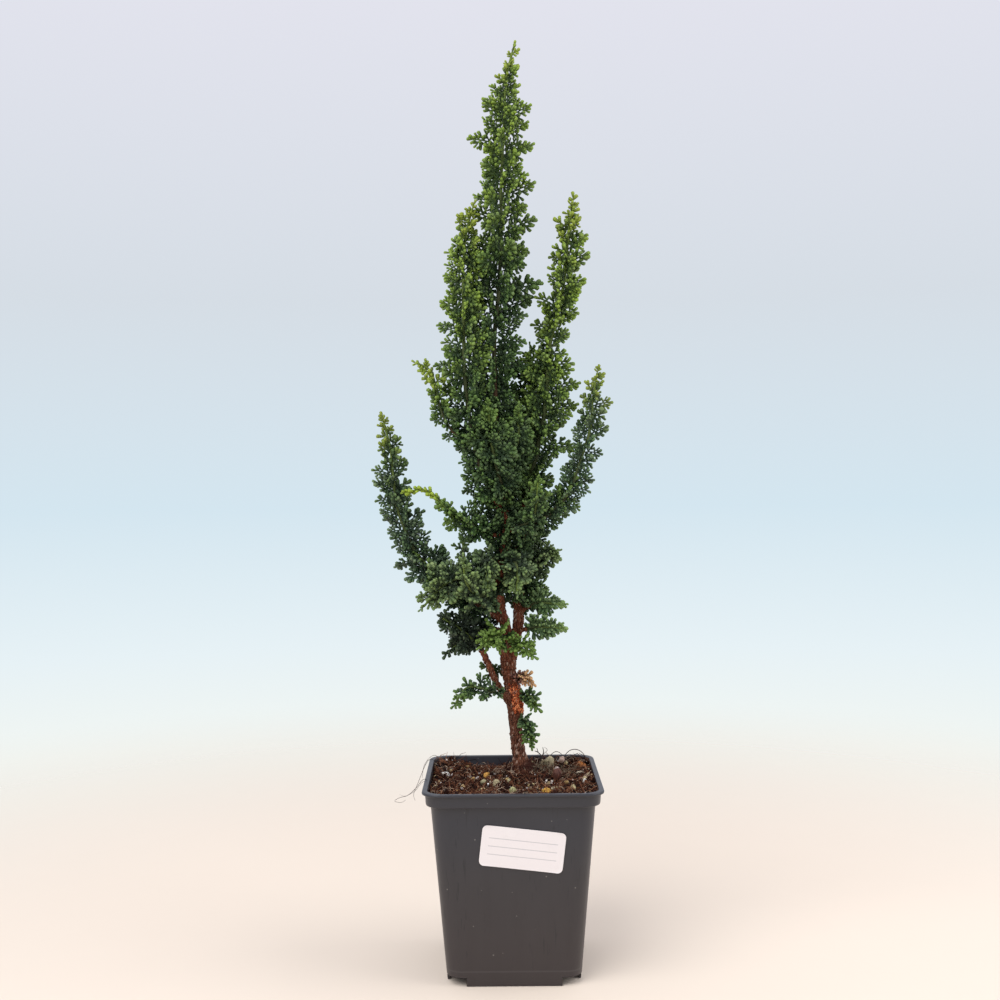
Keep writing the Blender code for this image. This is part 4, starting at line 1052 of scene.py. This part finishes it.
plan = {
    "leader_shoot": {
        "root": 321, "wood": 0, "foot": 2.0, "taper": 0.24, "count": 138, "tone": "column",
        "reach": ((0, 17), (0.3, 20), (0.55, 21), (0.70, 18), (1, 14)),
        "route": ((-8, 0, 339), (-9, 0, 367), (-9, 0, 396), (-6, 0, 427), (-4, 0, 465), (-4, 0, 490),
                  (-2, 0, 528), (0, 0, 560), (4, 0, 577))},
    "left_column_shoot": {
        "root": 283, "wood": 9, "foot": 2.0, "reach": 15, "taper": 0.23, "count": 108, "tone": "column",
        "route": ((-13, -10, 301), (-21, -14, 326), (-27, -15, 363), (-28, -14, 400), (-28, -12, 438),
                  (-26, -12, 460), (-22, -12, 476)),
        "spur": {"count": 30, "scale": 0.52, "bareShare": 0.02, "tone": "fern",
                 "route": ((-27.5, -15, 330), (-36, -16, 338), (-42, -17, 349), (-45, -17, 362),
                           (-47.5, -17, 372), (-51, -17, 377), (-56, -17, 379))}},
    "right_column_shoot": {
        "root": 186, "wood": 108, "foot": 2.9, "taper": 0.21, "count": 112, "tone": "column",
        "reach": ((0, 15), (0.35, 18), (0.42, 17.5), (0.47, 11), (0.54, 11), (0.64, 13.5), (1, 14)),
        "route": ((3, 9, 205), (5, 10, 218), (5, 11, 237), (5, 12, 256), (7, 12, 281), (11, 10, 300),
                  (18, 8, 326), (24, 8, 358), (26, 8, 390), (33, 8, 418), (37, 8, 441), (39, 8, 466),
                  (42, 8, 484))},
    "right_inner_shoot": {
        **onRight, "root": 284, "wood": 8, "foot": 1.6, "reach": 15, "taper": 0.18, "count": 54,
        "route": ((6, 18, 306), (9, 22, 328), (13, 21, 355), (15, 19, 375), (14, 17, 391))},
    "far_right_shoot": {
        **onRight, "root": 262, "wood": 12, "foot": 1.7, "reach": 11, "taper": 0.18, "count": 52,
        "tone": "outer",
        "route": ((14, 6, 277), (27, 1, 287), (38, 0, 300), (45, 0, 319), (51, 0, 338), (53, 0, 357),
                  (56, 0, 374))},
    "far_left_shoot": {
        "root": 216, "wood": 10, "foot": 1.8, "reach": 13.5, "taper": 0.35, "count": 78, "tone": "outer",
        "route": ((-26, 2, 231), (-45, 0, 245), (-59, 0, 260), (-67, 0, 276), (-72, 0, 292), (-74, 0, 311),
                  (-76, 0, 330), (-80, 0, 344))},
    "front_column_shoot": {
        "root": 294, "foot": 1.5, "reach": 13, "taper": 0.35, "count": 40,
        "route": ((-5, -12, 302), (-9, -20, 318), (-12, -24, 335), (-13, -24, 352))},
    "back_column_shoot": {
        "root": 262, "wood": 8, "foot": 1.8, "reach": 13, "taper": 0.35, "count": 46,
        "route": ((-2, 14, 278), (-3, 26, 302), (-5, 32, 335), (-6, 34, 366), (-5, 32, 394))},
    "leader_right_shoot": {
        "root": 307, "wood": 6, "reach": 11, "count": 30,
        "route": ((1, -7, 316), (5, -11, 331), (6, -12, 349))},
    "lime_shoot": {
        "root": 270, "wood": 8, "foot": 1.3, "taper": 0.25, "count": 62, "tone": "lime", "habit": "tail",
        "reach": ((0.0, 10), (0.3, 8), (0.5, 3.9), (1.0, 3.9)),
        "route": ((-18, -9, 275), (-26, -16, 281), (-33, -19, 285), (-40, -20, 290), (-47, -20, 297),
                  (-53, -20, 301), (-63, -20, 300))},
    "back_right_shoot": {
        **onRight, "root": 241, "wood": 8, "foot": 1.5, "reach": 11, "taper": 0.5, "count": 30,
        "route": ((9, 24, 250), (14, 36, 262), (17, 43, 280), (18, 45, 300))},
    "back_left_shoot": {
        "root": 222, "wood": 8, "foot": 1.5, "reach": 12, "taper": 0.5, "count": 30,
        "route": ((-15, 16, 231), (-24, 31, 241), (-30, 43, 254), (-32, 48, 270))},
    "front_left_shoot": {
        "root": 231, "wood": 8, "foot": 1.4, "reach": 11, "taper": 0.5, "count": 30, "tone": "grey",
        "route": ((-13, -9, 234), (-21, -24, 236), (-27, -34, 244), (-29, -38, 257))},
    "front_right_shoot": {
        "root": 273, "foot": 1.4, "reach": 10.5, "taper": 0.5, "count": 28,
        "route": ((4, -9, 277), (12, -20, 281), (16, -28, 291), (17, -31, 305))},
    "left_front_shoot": {
        "root": 240, "wood": 8, "foot": 1.5, "reach": 13, "count": 28, "tone": "grey",
        "route": ((-17, -4, 244), (-30, -12, 246), (-43, -19, 241), (-54, -22, 229))},
    "right_middle_shoot": {
        **onRight, "root": 243, "foot": 1.3, "reach": 12, "taper": 0.5, "count": 20, "tone": "grey",
        "route": ((15, 6, 252), (29, 6, 260))},
    "right_back_shoot": {
        **onRight, "root": 231, "foot": 1.3, "reach": 9, "taper": 0.5, "count": 16,
        "route": ((13, 20, 238), (21, 25, 236))},
    # the two plumes take the plume tone, which is painted light
    "right_upper_shoot": {
        **onRight, "root": 221, "foot": 1.2, "reach": 8.5, "taper": 0.7, "count": 34, "tone": "plume",
        "habit": "plume", "route": ((16, 6, 228), (32, 4, 227))},
    "right_lower_shoot": {
        **onRight, "root": 209, "reach": 8.5, "taper": 0.7, "count": 34, "tone": "plume", "habit": "plume",
        "route": ((15, 1, 213), (32, -4, 213))},
    "front_drooping_left_shoot": {
        "root": 254, "foot": 1.2, "reach": 10, "count": 17, "tone": "grey",
        "route": ((-10, -8, 258), (-14, -18, 253), (-15, -24, 240))},
    "front_drooping_right_shoot": {
        "root": 252, "foot": 1.2, "reach": 10, "count": 20, "tone": "grey",
        "route": ((1, -7, 256), (4, -17, 252), (4, -22, 238))},
    "low_left_branch_shoot": {
        "root": 158, "wood": 46, "foot": 1.6, "reach": 13, "count": 24, "tone": "shaded",
        "route": ((-3, 8, 166), (-10, 6, 178), (-15, 4, 190), (-20, 2, 200), (-30, -3, 211), (-43, -7, 220))},
    "left_drooping_shoot": {
        "root": 208, "wood": 8, "foot": 1.4, "reach": 11, "taper": 0.5, "count": 26, "tone": "shaded",
        "route": ((-14, 13, 211), (-27, 17, 206), (-40, 17, 196))},
    "low_front_left_shoot": {
        "root": 205, "reach": 9, "count": 26, "tone": "bright",
        "route": ((-6, -3, 208), (-12, -14, 209), (-17, -20, 206))},
    "low_front_right_shoot": {
        "root": 200, "reach": 8, "count": 20, "tone": "bright",
        "route": ((4, -2, 202), (8, -9, 202), (12, -12, 198))},
    "low_left_twig_shoot": {
        "root": 164, "wood": 15, "reach": 7.5, "taper": 0.3, "count": 22,
        "route": ((-7, -1, 171), (-15, -7, 174), (-23, -9, 177), (-30, -9, 175), (-35, -9, 167))},
    "low_back_shoot": {
        "root": 178, "wood": 8, "reach": 7.5, "count": 9, "route": ((-6, 15, 183), (-15, 20, 185))},
    "low_right_shoot": {
        "root": 163, "wood": 5, "reach": 5.4, "count": 20,
        "route": ((8, 5, 168), (12, 2, 169), (15, 0, 164))},
    "withered_shoot": {
        "root": 174, "wood": 6, "foot": 1.0, "reach": 5, "count": 22, "tone": "withered",
        "route": ((4, 2, 180), (7, -1, 182), (10, -2, 180))},
    "lowest_right_shoot": {
        "root": 146, "wood": 6, "foot": 1.0, "reach": 5.6, "taper": 0.35, "count": 28,
        "route": ((7, 4, 153), (10, 0, 151), (12, -2, 141))},
}
# sprays that stand straight on the wood and hide it: the stem, its lowest and highest place, reach, number
clothing = {
    "trunkSprays": ("trunk", 236, 321, 18, 74),
    "rightStemSprays": ("right_column_shoot", 222, 306, 15, 52),
    "limeFootSprays": ("lime_shoot", 270, 288, 12, 22),
    "farLeftFootSprays": ("far_left_shoot", 220, 252, 15, 20),
    "farRightFootSprays": ("far_right_shoot", 264, 301, 13, 26),
}


def atHeight(path, height):
    for a, b in zip(path, path[1:]):
        if a.z <= height <= b.z:
            return a.lerp(b, (height - a.z) / (b.z - a.z))
    return path[-1].copy()


courseStep = 1.5
courses = {"trunk": smoothRoute(trunkRoute, courseStep)}
for shootName in plan:
    shoot = plan[shootName] = {**usualShoot, **plan[shootName]}
    leaving = atHeight(courses[shoot["stem"]], shoot["root"])
    courses[shootName] = smoothRoute([leaving, *shoot["route"]], courseStep)


# wood: fine rings with bark relief, loose flakes, curled orange flakes on the knob, and thin roots

woodLook = {
    "ringStep": 0.85, "sides": 34, "ridge": 0.32, "underBark": 0.94, "flare": 0.5, "flareFade": 5.5,
    "knobHeight": 166.0, "knobWidth": 8.0, "knob": 0.9, "branchSides": 12, "thickBranch": 40,
    "branchEnd": 1.5,  # of bare wood inside the sprays
    # where the knob's orange comes in and goes out again, and where the wood turns rusty, in metres
    "orange": ((0.154, 0.162), (0.172, 0.181)), "rusty": (0.150, 0.20),
    "flaked": (112.0, 240.0),  # lowest and highest place with loose flakes
    "flakes": {"density": 115.0, "smallest": 0.3, "largest": 1.2, "tilt": 0.42, "upright": 1.0, "lift": 0.14,
               "seed": 5, "lowest": -0.6},
    "curled": {"from": 157.0, "to": 176.0, "start": -110, "end": 35, "radius": 4.7, "columns": 12},
    "curls": {"density": 110, "smallest": 0.35, "largest": 1.0, "tilt": 0.9, "upright": 0.6, "lift": 0.3,
              "seed": 21, "lowest": -0.9},
    "roots": {"count": 90, "start": 4.2, "startSpread": 1.5, "reach": (5, 18), "bends": 4, "wander": 0.25,
              "rise": 7.0, "sunk": 0.5, "thick": (0.14, 0.42), "thinning": 0.7, "sides": 4, "step": 1.2,
              "seed": 8},
}


def bark(s):
    f = Finish("flakyBark")
    strips = f.grain(1.1, 6, 0.62, stretch=(1, 1, 0.16))
    flakes = f.grain(2.4, 5, 0.7, stretch=(1, 1, 0.35))
    cracks = f.step(f.grain(0.7, 4, 0.6, stretch=(1, 1, 0.1)), 0.5, 0.7)
    tint = f.attribute("tint")
    height = f.axis("Z")
    comesIn, goesOut = s["orange"]
    knob = f.step(height, *comesIn) * (1 - f.step(height, *goesOut))
    right = f.step(f.axis("X"), -0.001, 0.004)
    high = f.step(height, *s["rusty"])
    tone = f.ramp(strips * 0.6 + flakes * 0.4, [
        (0.30, (0.032, 0.010, 0.007)), (0.45, (0.100, 0.031, 0.017)), (0.58, (0.21, 0.075, 0.040)),
        (0.75, (0.42, 0.23, 0.15))])
    rusty = f.ramp(strips * 0.5 + flakes * 0.5, [
        (0.32, (0.055, 0.013, 0.007)), (0.5, (0.20, 0.050, 0.022)), (0.7, (0.46, 0.17, 0.08))])
    orange = f.ramp(flakes, [
        (0.35, (0.10, 0.016, 0.005)), (0.52, (0.50, 0.11, 0.03)), (0.68, (0.75, 0.27, 0.11))])
    tone = f.layered(
        tone, (high * 0.85, rusty), (knob * right * 0.9, orange), (cracks * 0.55, (0.018, 0.008, 0.006)),
        (tint * 0.3, (0.40, 0.17, 0.09)), (f.step(tint, 0.78, 0.95) * 0.55, (0.56, 0.40, 0.31)))
    return f.done(tone, 0.85, 0.25, f.relief(strips, 0.8, below=f.relief(flakes, 0.7)))


def barkTube(name, path, radiusAt, sides, ridge, seed, finish):
    # a tube with long ridges and lifted plates in its surface
    def radius(i, angle):
        z = path[i].z
        a, b = math.cos(angle) * 2.2, math.sin(angle) * 2.2
        long = bumpy(a * 1.6, b * 1.6, z * 0.09, seed)
        plate = smooth01(-0.05, 0.12, bumpy(a * 2.6, b * 2.6, z * 0.28, seed + 5)) - 0.5
        fine = bumpy(a * 5, b * 5, z * 0.9, seed + 9)
        return radiusAt(i, angle) * (1 + 0.10 * long) + ridge * (0.55 * plate + 0.35 * fine)
    return tubeFrom(name, path, radius, sides, finish)


def barkTubes(s, path, finish):
    def trunkSize(i, angle):
        z = path[i].z
        low = math.exp(-max(0.0, z - soilSizes["level"] - 4) / s["flareFade"])
        lobes = 0.5 + 0.5 * math.sin(3 * angle + 0.8) + 0.35 * math.sin(5 * angle + 2.0)
        near = math.exp(-((z - s["knobHeight"]) / s["knobWidth"]) ** 2)
        knob = s["knob"] * near * (0.6 + 0.4 * math.cos(angle))
        return readTable(trunkRadii, z) * s["underBark"] + s["flare"] * low * lobes + knob

    tubes = [barkTube("trunkBark", path, trunkSize, s["sides"], s["ridge"], 1, finish)]
    for number, (name, shoot) in enumerate(plan.items()):
        if not shoot["wood"]:
            continue
        course = courses[name]
        bare = shoot["wood"] + s["branchEnd"]
        end = next(i for i, length in enumerate(pathLengths(course)) if length >= bare)
        fine = smoothRoute(course[:end + 1:2 if end > 5 else 1], s["ringStep"])
        run = pathLengths(fine)

        def footSize(i, angle):
            share = min(1.0, run[i] / run[-1])
            return shoot["foot"] * (1.08 - 0.12 * share) * (1 + 0.5 * math.exp(-run[i] / 4.0))
        sides = s["sides"] * 3 // 4 if shoot["wood"] > s["thickBranch"] else s["branchSides"]
        ridge = s["ridge"] * min(1.0, shoot["foot"] / 3)
        tubes.append(barkTube(name + "Foot", fine, footSize, sides, ridge, 2 + number, finish))
    for tube in tubes:
        storeValues(tube, "tint")
    return tubes


def barkFlakes(s, wood, finish):
    # they stand on a copy of the wood's own surface, cut off where the sprays hide it
    carrier = newObject("carrier", wood.data.copy())
    seen = bmesh.new()
    seen.from_mesh(carrier.data)
    low, high = (height * mm for height in s["flaked"])
    hidden = [vert for vert in seen.verts if not low < vert.co.z < high]
    bmesh.ops.delete(seen, geom=hidden, context="VERTS")
    seen.to_mesh(carrier.data)
    seen.free()
    parts = strips("flake", 90, 5, 2.9, 0.78, 0.24, finish, stations=3)
    return strew("barkFlakes", carrier, parts, **s["flakes"])


def knobCurls(s, path):
    k = s["curled"]
    orange = stuff("orangeFlake", 0.75, 0.6, 0.2, (0.2, (0.13, 0.018, 0.005)), (0.5, (0.55, 0.105, 0.028)),
                   (0.9, (0.90, 0.34, 0.14)))
    bed = [place for place in path if k["from"] <= place.z <= k["to"]]
    sheet = []
    for place in bed:
        for j in range(k["columns"] + 1):
            angle = math.radians(k["start"] + (k["end"] - k["start"]) * j / k["columns"])
            sheet.append(place + Vector((math.cos(angle), math.sin(angle), 0)) * k["radius"])
    carrier = shapeFrom("knobBed", sheet, gridFaces(len(bed) - 1, k["columns"]))
    parts = strips("curl", 130, 5, 3.4, 0.9, 0.5, orange, sides=4, stations=5)
    return strew("knobFlakes", carrier, parts, **s["curls"])


def fibrousRoots(s):
    # they spread from the trunk's foot into the soil
    rng = random.Random(s["seed"])
    finish = stuff("rootFibre", 0.9, 1.2, 0.2, (0.25, (0.05, 0.013, 0.007)), (0.5, (0.16, 0.050, 0.025)),
                   (0.75, (0.34, 0.17, 0.10)))
    middle = Vector((*soilSizes["trunk"], 0))
    roots = []
    for i in range(s["count"]):
        angle = rng.uniform(0, math.tau)
        start = s["start"] + rng.uniform(0, s["startSpread"])
        reach = rng.uniform(*s["reach"])
        route = []
        for k in range(s["bends"] + 1):
            away = start + reach * k / s["bends"]
            bend = angle + s["wander"] * k * rng.uniform(-1, 1)
            spot = middle + Vector((math.cos(bend), math.sin(bend), 0)) * away
            rise = s["rise"] * (1 - k / s["bends"]) ** 2.2
            spot.z = soilTop(spot.x, spot.y) - s["sunk"] + rise * rng.uniform(0.35, 1.0)
            route.append(spot)
        thick = rng.uniform(*s["thick"])
        path = smoothRoute(route, s["step"])

        def taper(n, angle):
            return thick * (1 - s["thinning"] * n / len(path))
        roots.append(tubeFrom("root", path, taper, s["sides"], finish))
    return roots


def makeWood(s):
    finish = bark(s)
    path = smoothRoute(trunkRoute, s["ringStep"])
    wood = joined("trunkAndBranches", barkTubes(s, path, finish))
    loose = [barkFlakes(s, wood, finish), knobCurls(s, path)]
    wood = joined("trunkAndBranches", [wood] + loose + fibrousRoots(s["roots"]))
    settle(wood, ["trunk_and_branches"])


print("wood")
makeWood(woodLook)


# foliage: fingers of scale leaves make twigs, twigs make fans, and fans stand along each shoot

leafSizes = {
    "fingerLength": 4.2, "fingerWidth": 1.36, "fingerThick": 1.00, "fingerSides": 4,
    "fingerRings": ((0.0, 0.50), (0.52, 0.86), (0.86, 0.88)),  # shares of the length and width
    "fingerBends": (0.25, -0.35), "fingerTurn": 0.3, "fanLength": 7.2, "shortestFan": 6.0,
    "pastWood": 2.5,  # from the bare wood to the first fan
    "overreach": 1.2, "footSwell": 0.72, "swellRate": 2.4, "lumps": 0.16, "stemShare": 0.85,
}
# young tips and from which share of the shoot, fresh growth and from where, grown, old (also used for the
# painted shade towards the feet of fans and fingers), grey bloom
tones = {
    "column": ((0.27, 0.33, 0.040), 0.885, (0.140, 0.215, 0.026), 0.30, (0.055, 0.105, 0.027),
               (0.012, 0.032, 0.012), (0.095, 0.140, 0.070)),
    "outer": ((0.24, 0.29, 0.035), 0.86, (0.105, 0.165, 0.030), 0.55, (0.056, 0.100, 0.044),
              (0.012, 0.030, 0.014), (0.135, 0.180, 0.120)),
    "green": ((0.11, 0.18, 0.032), 0.8, (0.070, 0.125, 0.028), 0.4, (0.045, 0.085, 0.026),
              (0.011, 0.028, 0.012), (0.085, 0.125, 0.065)),
    "grey": ((0.15, 0.22, 0.07), 0.8, (0.12, 0.18, 0.064), 0.35, (0.046, 0.082, 0.033),
             (0.005, 0.012, 0.007), (0.17, 0.225, 0.110)),
    # plume: painted light, all its colours made lighter than the plumes' own green, as though they stood in
    # full light
    "plume": ((0.22, 0.32, 0.100), 0.8, (0.19, 0.29, 0.090), 0.3, (0.150, 0.235, 0.078),
              (0.046, 0.090, 0.034), (0.25, 0.32, 0.17)),
    "shaded": ((0.060, 0.095, 0.040), 0.9, (0.036, 0.058, 0.027), 0.6, (0.026, 0.044, 0.023),
               (0.007, 0.014, 0.008), (0.055, 0.072, 0.048)),
    "fern": ((0.25, 0.32, 0.040), 0.6, (0.125, 0.20, 0.030), 0.15, (0.06, 0.115, 0.027),
             (0.015, 0.038, 0.012), (0.12, 0.18, 0.07)),
    "lime": ((0.30, 0.40, 0.035), 0.55, (0.16, 0.26, 0.03), 0.15, (0.07, 0.14, 0.03),
             (0.02, 0.05, 0.015), (0.12, 0.20, 0.07)),
    "bright": ((0.135, 0.215, 0.040), 0.4, (0.088, 0.162, 0.027), 0.0, (0.060, 0.125, 0.024),
               (0.014, 0.042, 0.012), (0.12, 0.20, 0.06)),
    "withered": ((0.60, 0.36, 0.17), 0.75, (0.17, 0.070, 0.05), 0.3, (0.10, 0.038, 0.032),
                 (0.045, 0.017, 0.014), (0.26, 0.14, 0.10)),
}
# how each twig and fan is put together: stem length and bow, number of parts, part lengths at foot, middle
# and tip, and how far the parts lean at foot and tip, in degrees
branching = {
    "twig": {"twig1_0": (2.7, 0.14, 3, (3.7, 3.8, 3.7), (50, 36)),
             "twig1_1": (2.9, -0.10, 3, (3.5, 3.7, 3.8), (56, 38)),
             "twig2_0": (5.6, 0.14, 4, (3.9, 4.0, 3.8), (56, 40)),
             "twig2_1": (5.8, -0.08, 4, (3.7, 4.1, 3.8), (52, 38))},
    "fan": {"fan0_0": (3.2, 0.14, 3, (3.7, 3.9, 3.8), (62, 42)),
            "fan0_1": (3.4, -0.08, 4, (3.8, 4.0, 3.8), (56, 40)),
            "fan1_0": (6.6, 0.20, 5, (5.2, 5.4, 3.9), (60, 42)),
            "fan1_1": (6.8, 0.02, 5, (4.6, 6.0, 3.9), (58, 40)),
            "fan2_0": (11.8, 0.24, 7, (5.8, 7.2, 4.0), (62, 40)),
            "fan2_1": (11.6, 0.02, 8, (5.2, 7.6, 4.0), (60, 38)),
            "fan3_0": (19.6, 0.22, 11, (6.8, 9.2, 4.0), (62, 38)),
            "fan3_1": (19.2, 0.04, 10, (6.2, 9.4, 4.0), (64, 38))},
}
# how parts stand on a stem: turns and leans in degrees, lengths in millimetres
onShoot = {"turn": 137.5, "turnSpread": 0.35, "leanSpread": 0.2, "rollSpread": 0.9, "lengthSpread": 0.24,
           "stemTip": 0.7, "stemSides": 7, "placeName": "shootPlace", "tintName": "shootTint"}
ofTwigs = {"kinds": 3, "firstLength": leafSizes["fingerLength"]}
ofFans = {"kinds": 4, "firstLength": leafSizes["fanLength"]}
onTwig = {**ofTwigs, "turn": 180, "turnSpread": 0.25, "leanSpread": 0.14, "lengthSpread": 0.10,
          "crowding": 1.15, "stemFoot": 0.6, "stemTip": 0.5, "stemSides": 3}
habits = {
    "twig": {**onTwig, "kinds": 1, "rollSpread": 0.4, "bareShare": 0.08, "placeName": "twigPlace",
             "tintName": "twigTint"},
    "fan": {**onTwig, "rollSpread": 0.6, "bareShare": 0.20, "placeName": "fanPlace", "tintName": "fanTint"},
    "column": {**onShoot, **ofFans, "footLean": 74, "tipLean": 50, "rollSpread": 0.7, "crowding": 0.97},
    "tail": {**onShoot, **ofTwigs, "footLean": 60, "tipLean": 32, "crowding": 1.0},
    "plume": {**onShoot, **ofTwigs, "turn": 180, "footLean": 54, "tipLean": 40, "crowding": 1.1},
    "clothing": {**onShoot, **ofFans, "footLean": 80, "tipLean": 62, "turnSpread": 0.5, "leanSpread": 0.25,
                 "rollSpread": 1.0, "lengthSpread": 0.25, "crowding": 1.0, "bareShare": 0.0, "stemFoot": 1.0,
                 "stemTip": 1.0, "stemSides": 5},
}


def leafFinish(name, young, youngFrom, fresh, freshFrom, grown, old, bloom):
    f = Finish(name)
    tip = f.attribute("tip")
    fan = f.attribute("fanPlace")
    tint = f.attribute("shootTint")
    mottle = f.grain(9, 3)
    way = f.attribute("shootPlace") + (fan - 0.6) * 0.10 + (mottle - 0.5) * 0.14 + (tint - 0.5) * 0.12
    # darker towards the feet of the fans and of the fingers: partly the older growth there, partly painted
    # shade inside the foliage
    oldGrowthAndShade = 1 - f.step(fan * 0.55 + tip * 0.6, 0.15, 0.85)
    # lighter towards the fingers' tips: partly their own paler tips, partly a painted highlight where they
    # stand out into the light
    light = f.step(tip + (fan - 0.7) * 0.25, 0.50, 1.0)
    tone = f.blend(tint, grown, tuple(0.66 * g + 0.34 * o for g, o in zip(grown, old)))
    tone = f.layered(tone, (f.step(way, freshFrom, freshFrom + 0.5) * 0.9, fresh),
                     (f.step(mottle, 0.48, 0.66) * 0.5, bloom), (oldGrowthAndShade * 0.85, old))
    tone = f.blend(light * 0.55, tone, f.blend(1.0, tone, (2.2, 2.0, 1.6), "MULTIPLY"))
    tone = f.blend(f.step(way, youngFrom, youngFrom + 0.12) * (0.5 + tip * 0.5), tone, young)
    return f.done(tone, 0.55, 0.3, f.relief((tip * 22.0).run("SINE"), 0.12))


def twigFinish():
    f = Finish("youngStem")
    tone = f.ramp(f.attribute("shootPlace"), [
        (0.0, (0.20, 0.045, 0.020)), (0.12, (0.10, 0.036, 0.016)), (0.22, (0.044, 0.040, 0.015)),
        (0.50, (0.046, 0.060, 0.018)), (1.0, (0.12, 0.17, 0.025))])
    return f.done(tone, 0.7, 0.3, f.relief(f.grain(0.8, 3), 0.2))


def makeFinger(name, bend, finish):
    s = leafSizes
    sides = s["fingerSides"]
    points, tip = [], []
    for share, wide in s["fingerRings"]:
        for angle in angles(sides):
            x = s["fingerWidth"] * wide * math.cos(angle + s["fingerTurn"]) + bend * share * share
            y = s["fingerThick"] * wide * math.sin(angle + s["fingerTurn"])
            points.append(Vector((x, y, share * s["fingerLength"])))
            tip.append(share)
    points.append(Vector((bend, 0, s["fingerLength"])))
    tip.append(1.0)
    rings = len(s["fingerRings"])
    top = (rings - 1) * sides
    faces = ringFaces(rings, sides, closed=False)
    faces += [(top + k, top + (k + 1) % sides, rings * sides) for k in range(sides)]
    faces.append(tuple(reversed(range(sides))))
    finger = shapeFrom(name, points, faces, finish)
    storeValues(finger, "tip", tip)
    return finger


def grow(name, habit, path, lengths, parts, **inputs):
    # parts along a path, with the length wanted for the part at each of its points
    curve = bpy.data.curves.new("stem", "CURVE")
    curve.dimensions = "3D"
    spline = curve.splines.new("POLY")
    spline.points.add(len(path) - 1)
    for point, place, length in zip(spline.points, path, lengths):
        point.co = (*(place * mm), 1)
        point.radius = length * mm
    s = {**habits[habit], **inputs}
    for key in ("turn", "footLean", "tipLean"):
        s[key] = math.radians(s[key])
    for key in ("firstLength", "stemFoot", "stemTip"):
        s[key] *= mm
    return runTree(newObject("stem", curve), growing, name, parts=parts, **s)


def makeLevel(level, steps, seed, parts, finish):
    # all the twigs or all the fans
    made = []
    for name, (axis, bow, count, (foot, middle, tip), (footLean, tipLean)) in branching[level].items():
        path, lengths = [], []
        for i in range(steps + 1):
            t = i / steps
            path.append(Vector((bow * axis * t * t, 0, axis * t)))
            lengths.append(readTable(((0, foot), (0.4, middle), (1, tip)), t))
        made.append(grow(name, level, path, lengths, parts, count=count, footLean=footLean, tipLean=tipLean,
                         seed=seed + len(made), leafFinish=finish, stemFinish=finish))
    return made


def shootLengths(shoot, path, scale):
    # the length wanted for the fan at each point of a shoot's course
    leaf = leafSizes
    total = pathLengths(path)
    start = shoot["wood"] if scale == 1 else 0
    least = leaf["shortestFan" if shoot["habit"] == "column" else "fingerLength"]
    lengths = []
    for place, run in zip(path, total):
        share = max(0.0, (run - start) / (total[-1] - start))
        swell = min(1.0, leaf["footSwell"] + leaf["swellRate"] * share)
        narrow = min(1.0, max(0.0, 1 - share) / shoot["taper"]) ** 0.5
        uneven = 1 + leaf["lumps"] * bumpy(0.0, 0.0, place.z * 0.09 + place.x * 0.09, 4)
        reach = readTable(shoot["reach"], share) if isinstance(shoot["reach"], tuple) else shoot["reach"]
        lengths.append(max(least, reach * scale * leaf["overreach"] * swell * narrow * uneven))
    return lengths


def makeShoot(number, name, shoot, groups, finishes, stemFinish):
    words = name.split("_")
    title = words[0] + "".join(word.capitalize() for word in words[1:])
    course = courses[name]
    bare = (shoot["wood"] + leafSizes["pastWood"]) / pathLengths(course)[-1]
    stems = [(course, {"scale": 1.0, "bareShare": bare, **shoot})]
    if "spur" in shoot:
        stems.append((smoothRoute(shoot["spur"]["route"], courseStep), shoot["spur"]))
    grown = []
    for path, s in stems:
        grown.append(grow(
            title, shoot["habit"], path, shootLengths(shoot, path, s["scale"]), groups[shoot["habit"]],
            count=s["count"], bareShare=s["bareShare"], seed=1000 + 17 * number + len(grown),
            stemFoot=shoot["foot"] * s["scale"] * leafSizes["stemShare"],
            leafFinish=finishes[s["tone"]], stemFinish=stemFinish))
    return joined(title, grown)


def makeFoliage():
    stemFinish = twigFinish()
    fingers = [makeFinger(f"twig0_{i}", bend, stemFinish) for i, bend in enumerate(leafSizes["fingerBends"])]
    fingerGroup = partsGroup("fingers", fingers)
    twigGroup = partsGroup("twigs", fingers + makeLevel("twig", 2, 31, fingerGroup, stemFinish))
    fanGroup = partsGroup("fans", makeLevel("fan", 6, 51, twigGroup, stemFinish))
    groups = {"column": fanGroup, "tail": twigGroup, "plume": twigGroup}
    finishes = {name: leafFinish(name + "Scales", *row) for name, row in tones.items()}
    pieces = []
    for number, (name, shoot) in enumerate(plan.items()):
        pieces.append(makeShoot(number, name, shoot, groups, finishes, stemFinish))
        settle(pieces[-1], [name])
    for number, (name, (stem, low, high, reach, count)) in enumerate(clothing.items()):
        path = [place for place in courses[stem] if low <= place.z <= high]
        lengths = [reach * (1 + 0.2 * bumpy(0.0, 0.0, place.z * 0.11, 6 + number)) for place in path]
        pieces.append(grow(name, "clothing", path, lengths, fanGroup, count=count, seed=4000 + number,
                           leafFinish=finishes["green"], stemFinish=stemFinish))
        settle(pieces[-1])
    for group in (fanGroup, twigGroup, fingerGroup):
        discard(group)
    for piece in pieces:
        triangles = sum(len(polygon.vertices) - 2 for polygon in piece.data.polygons)
        print(f"  {piece.name}: {triangles} triangles")


print("foliage")
makeFoliage()
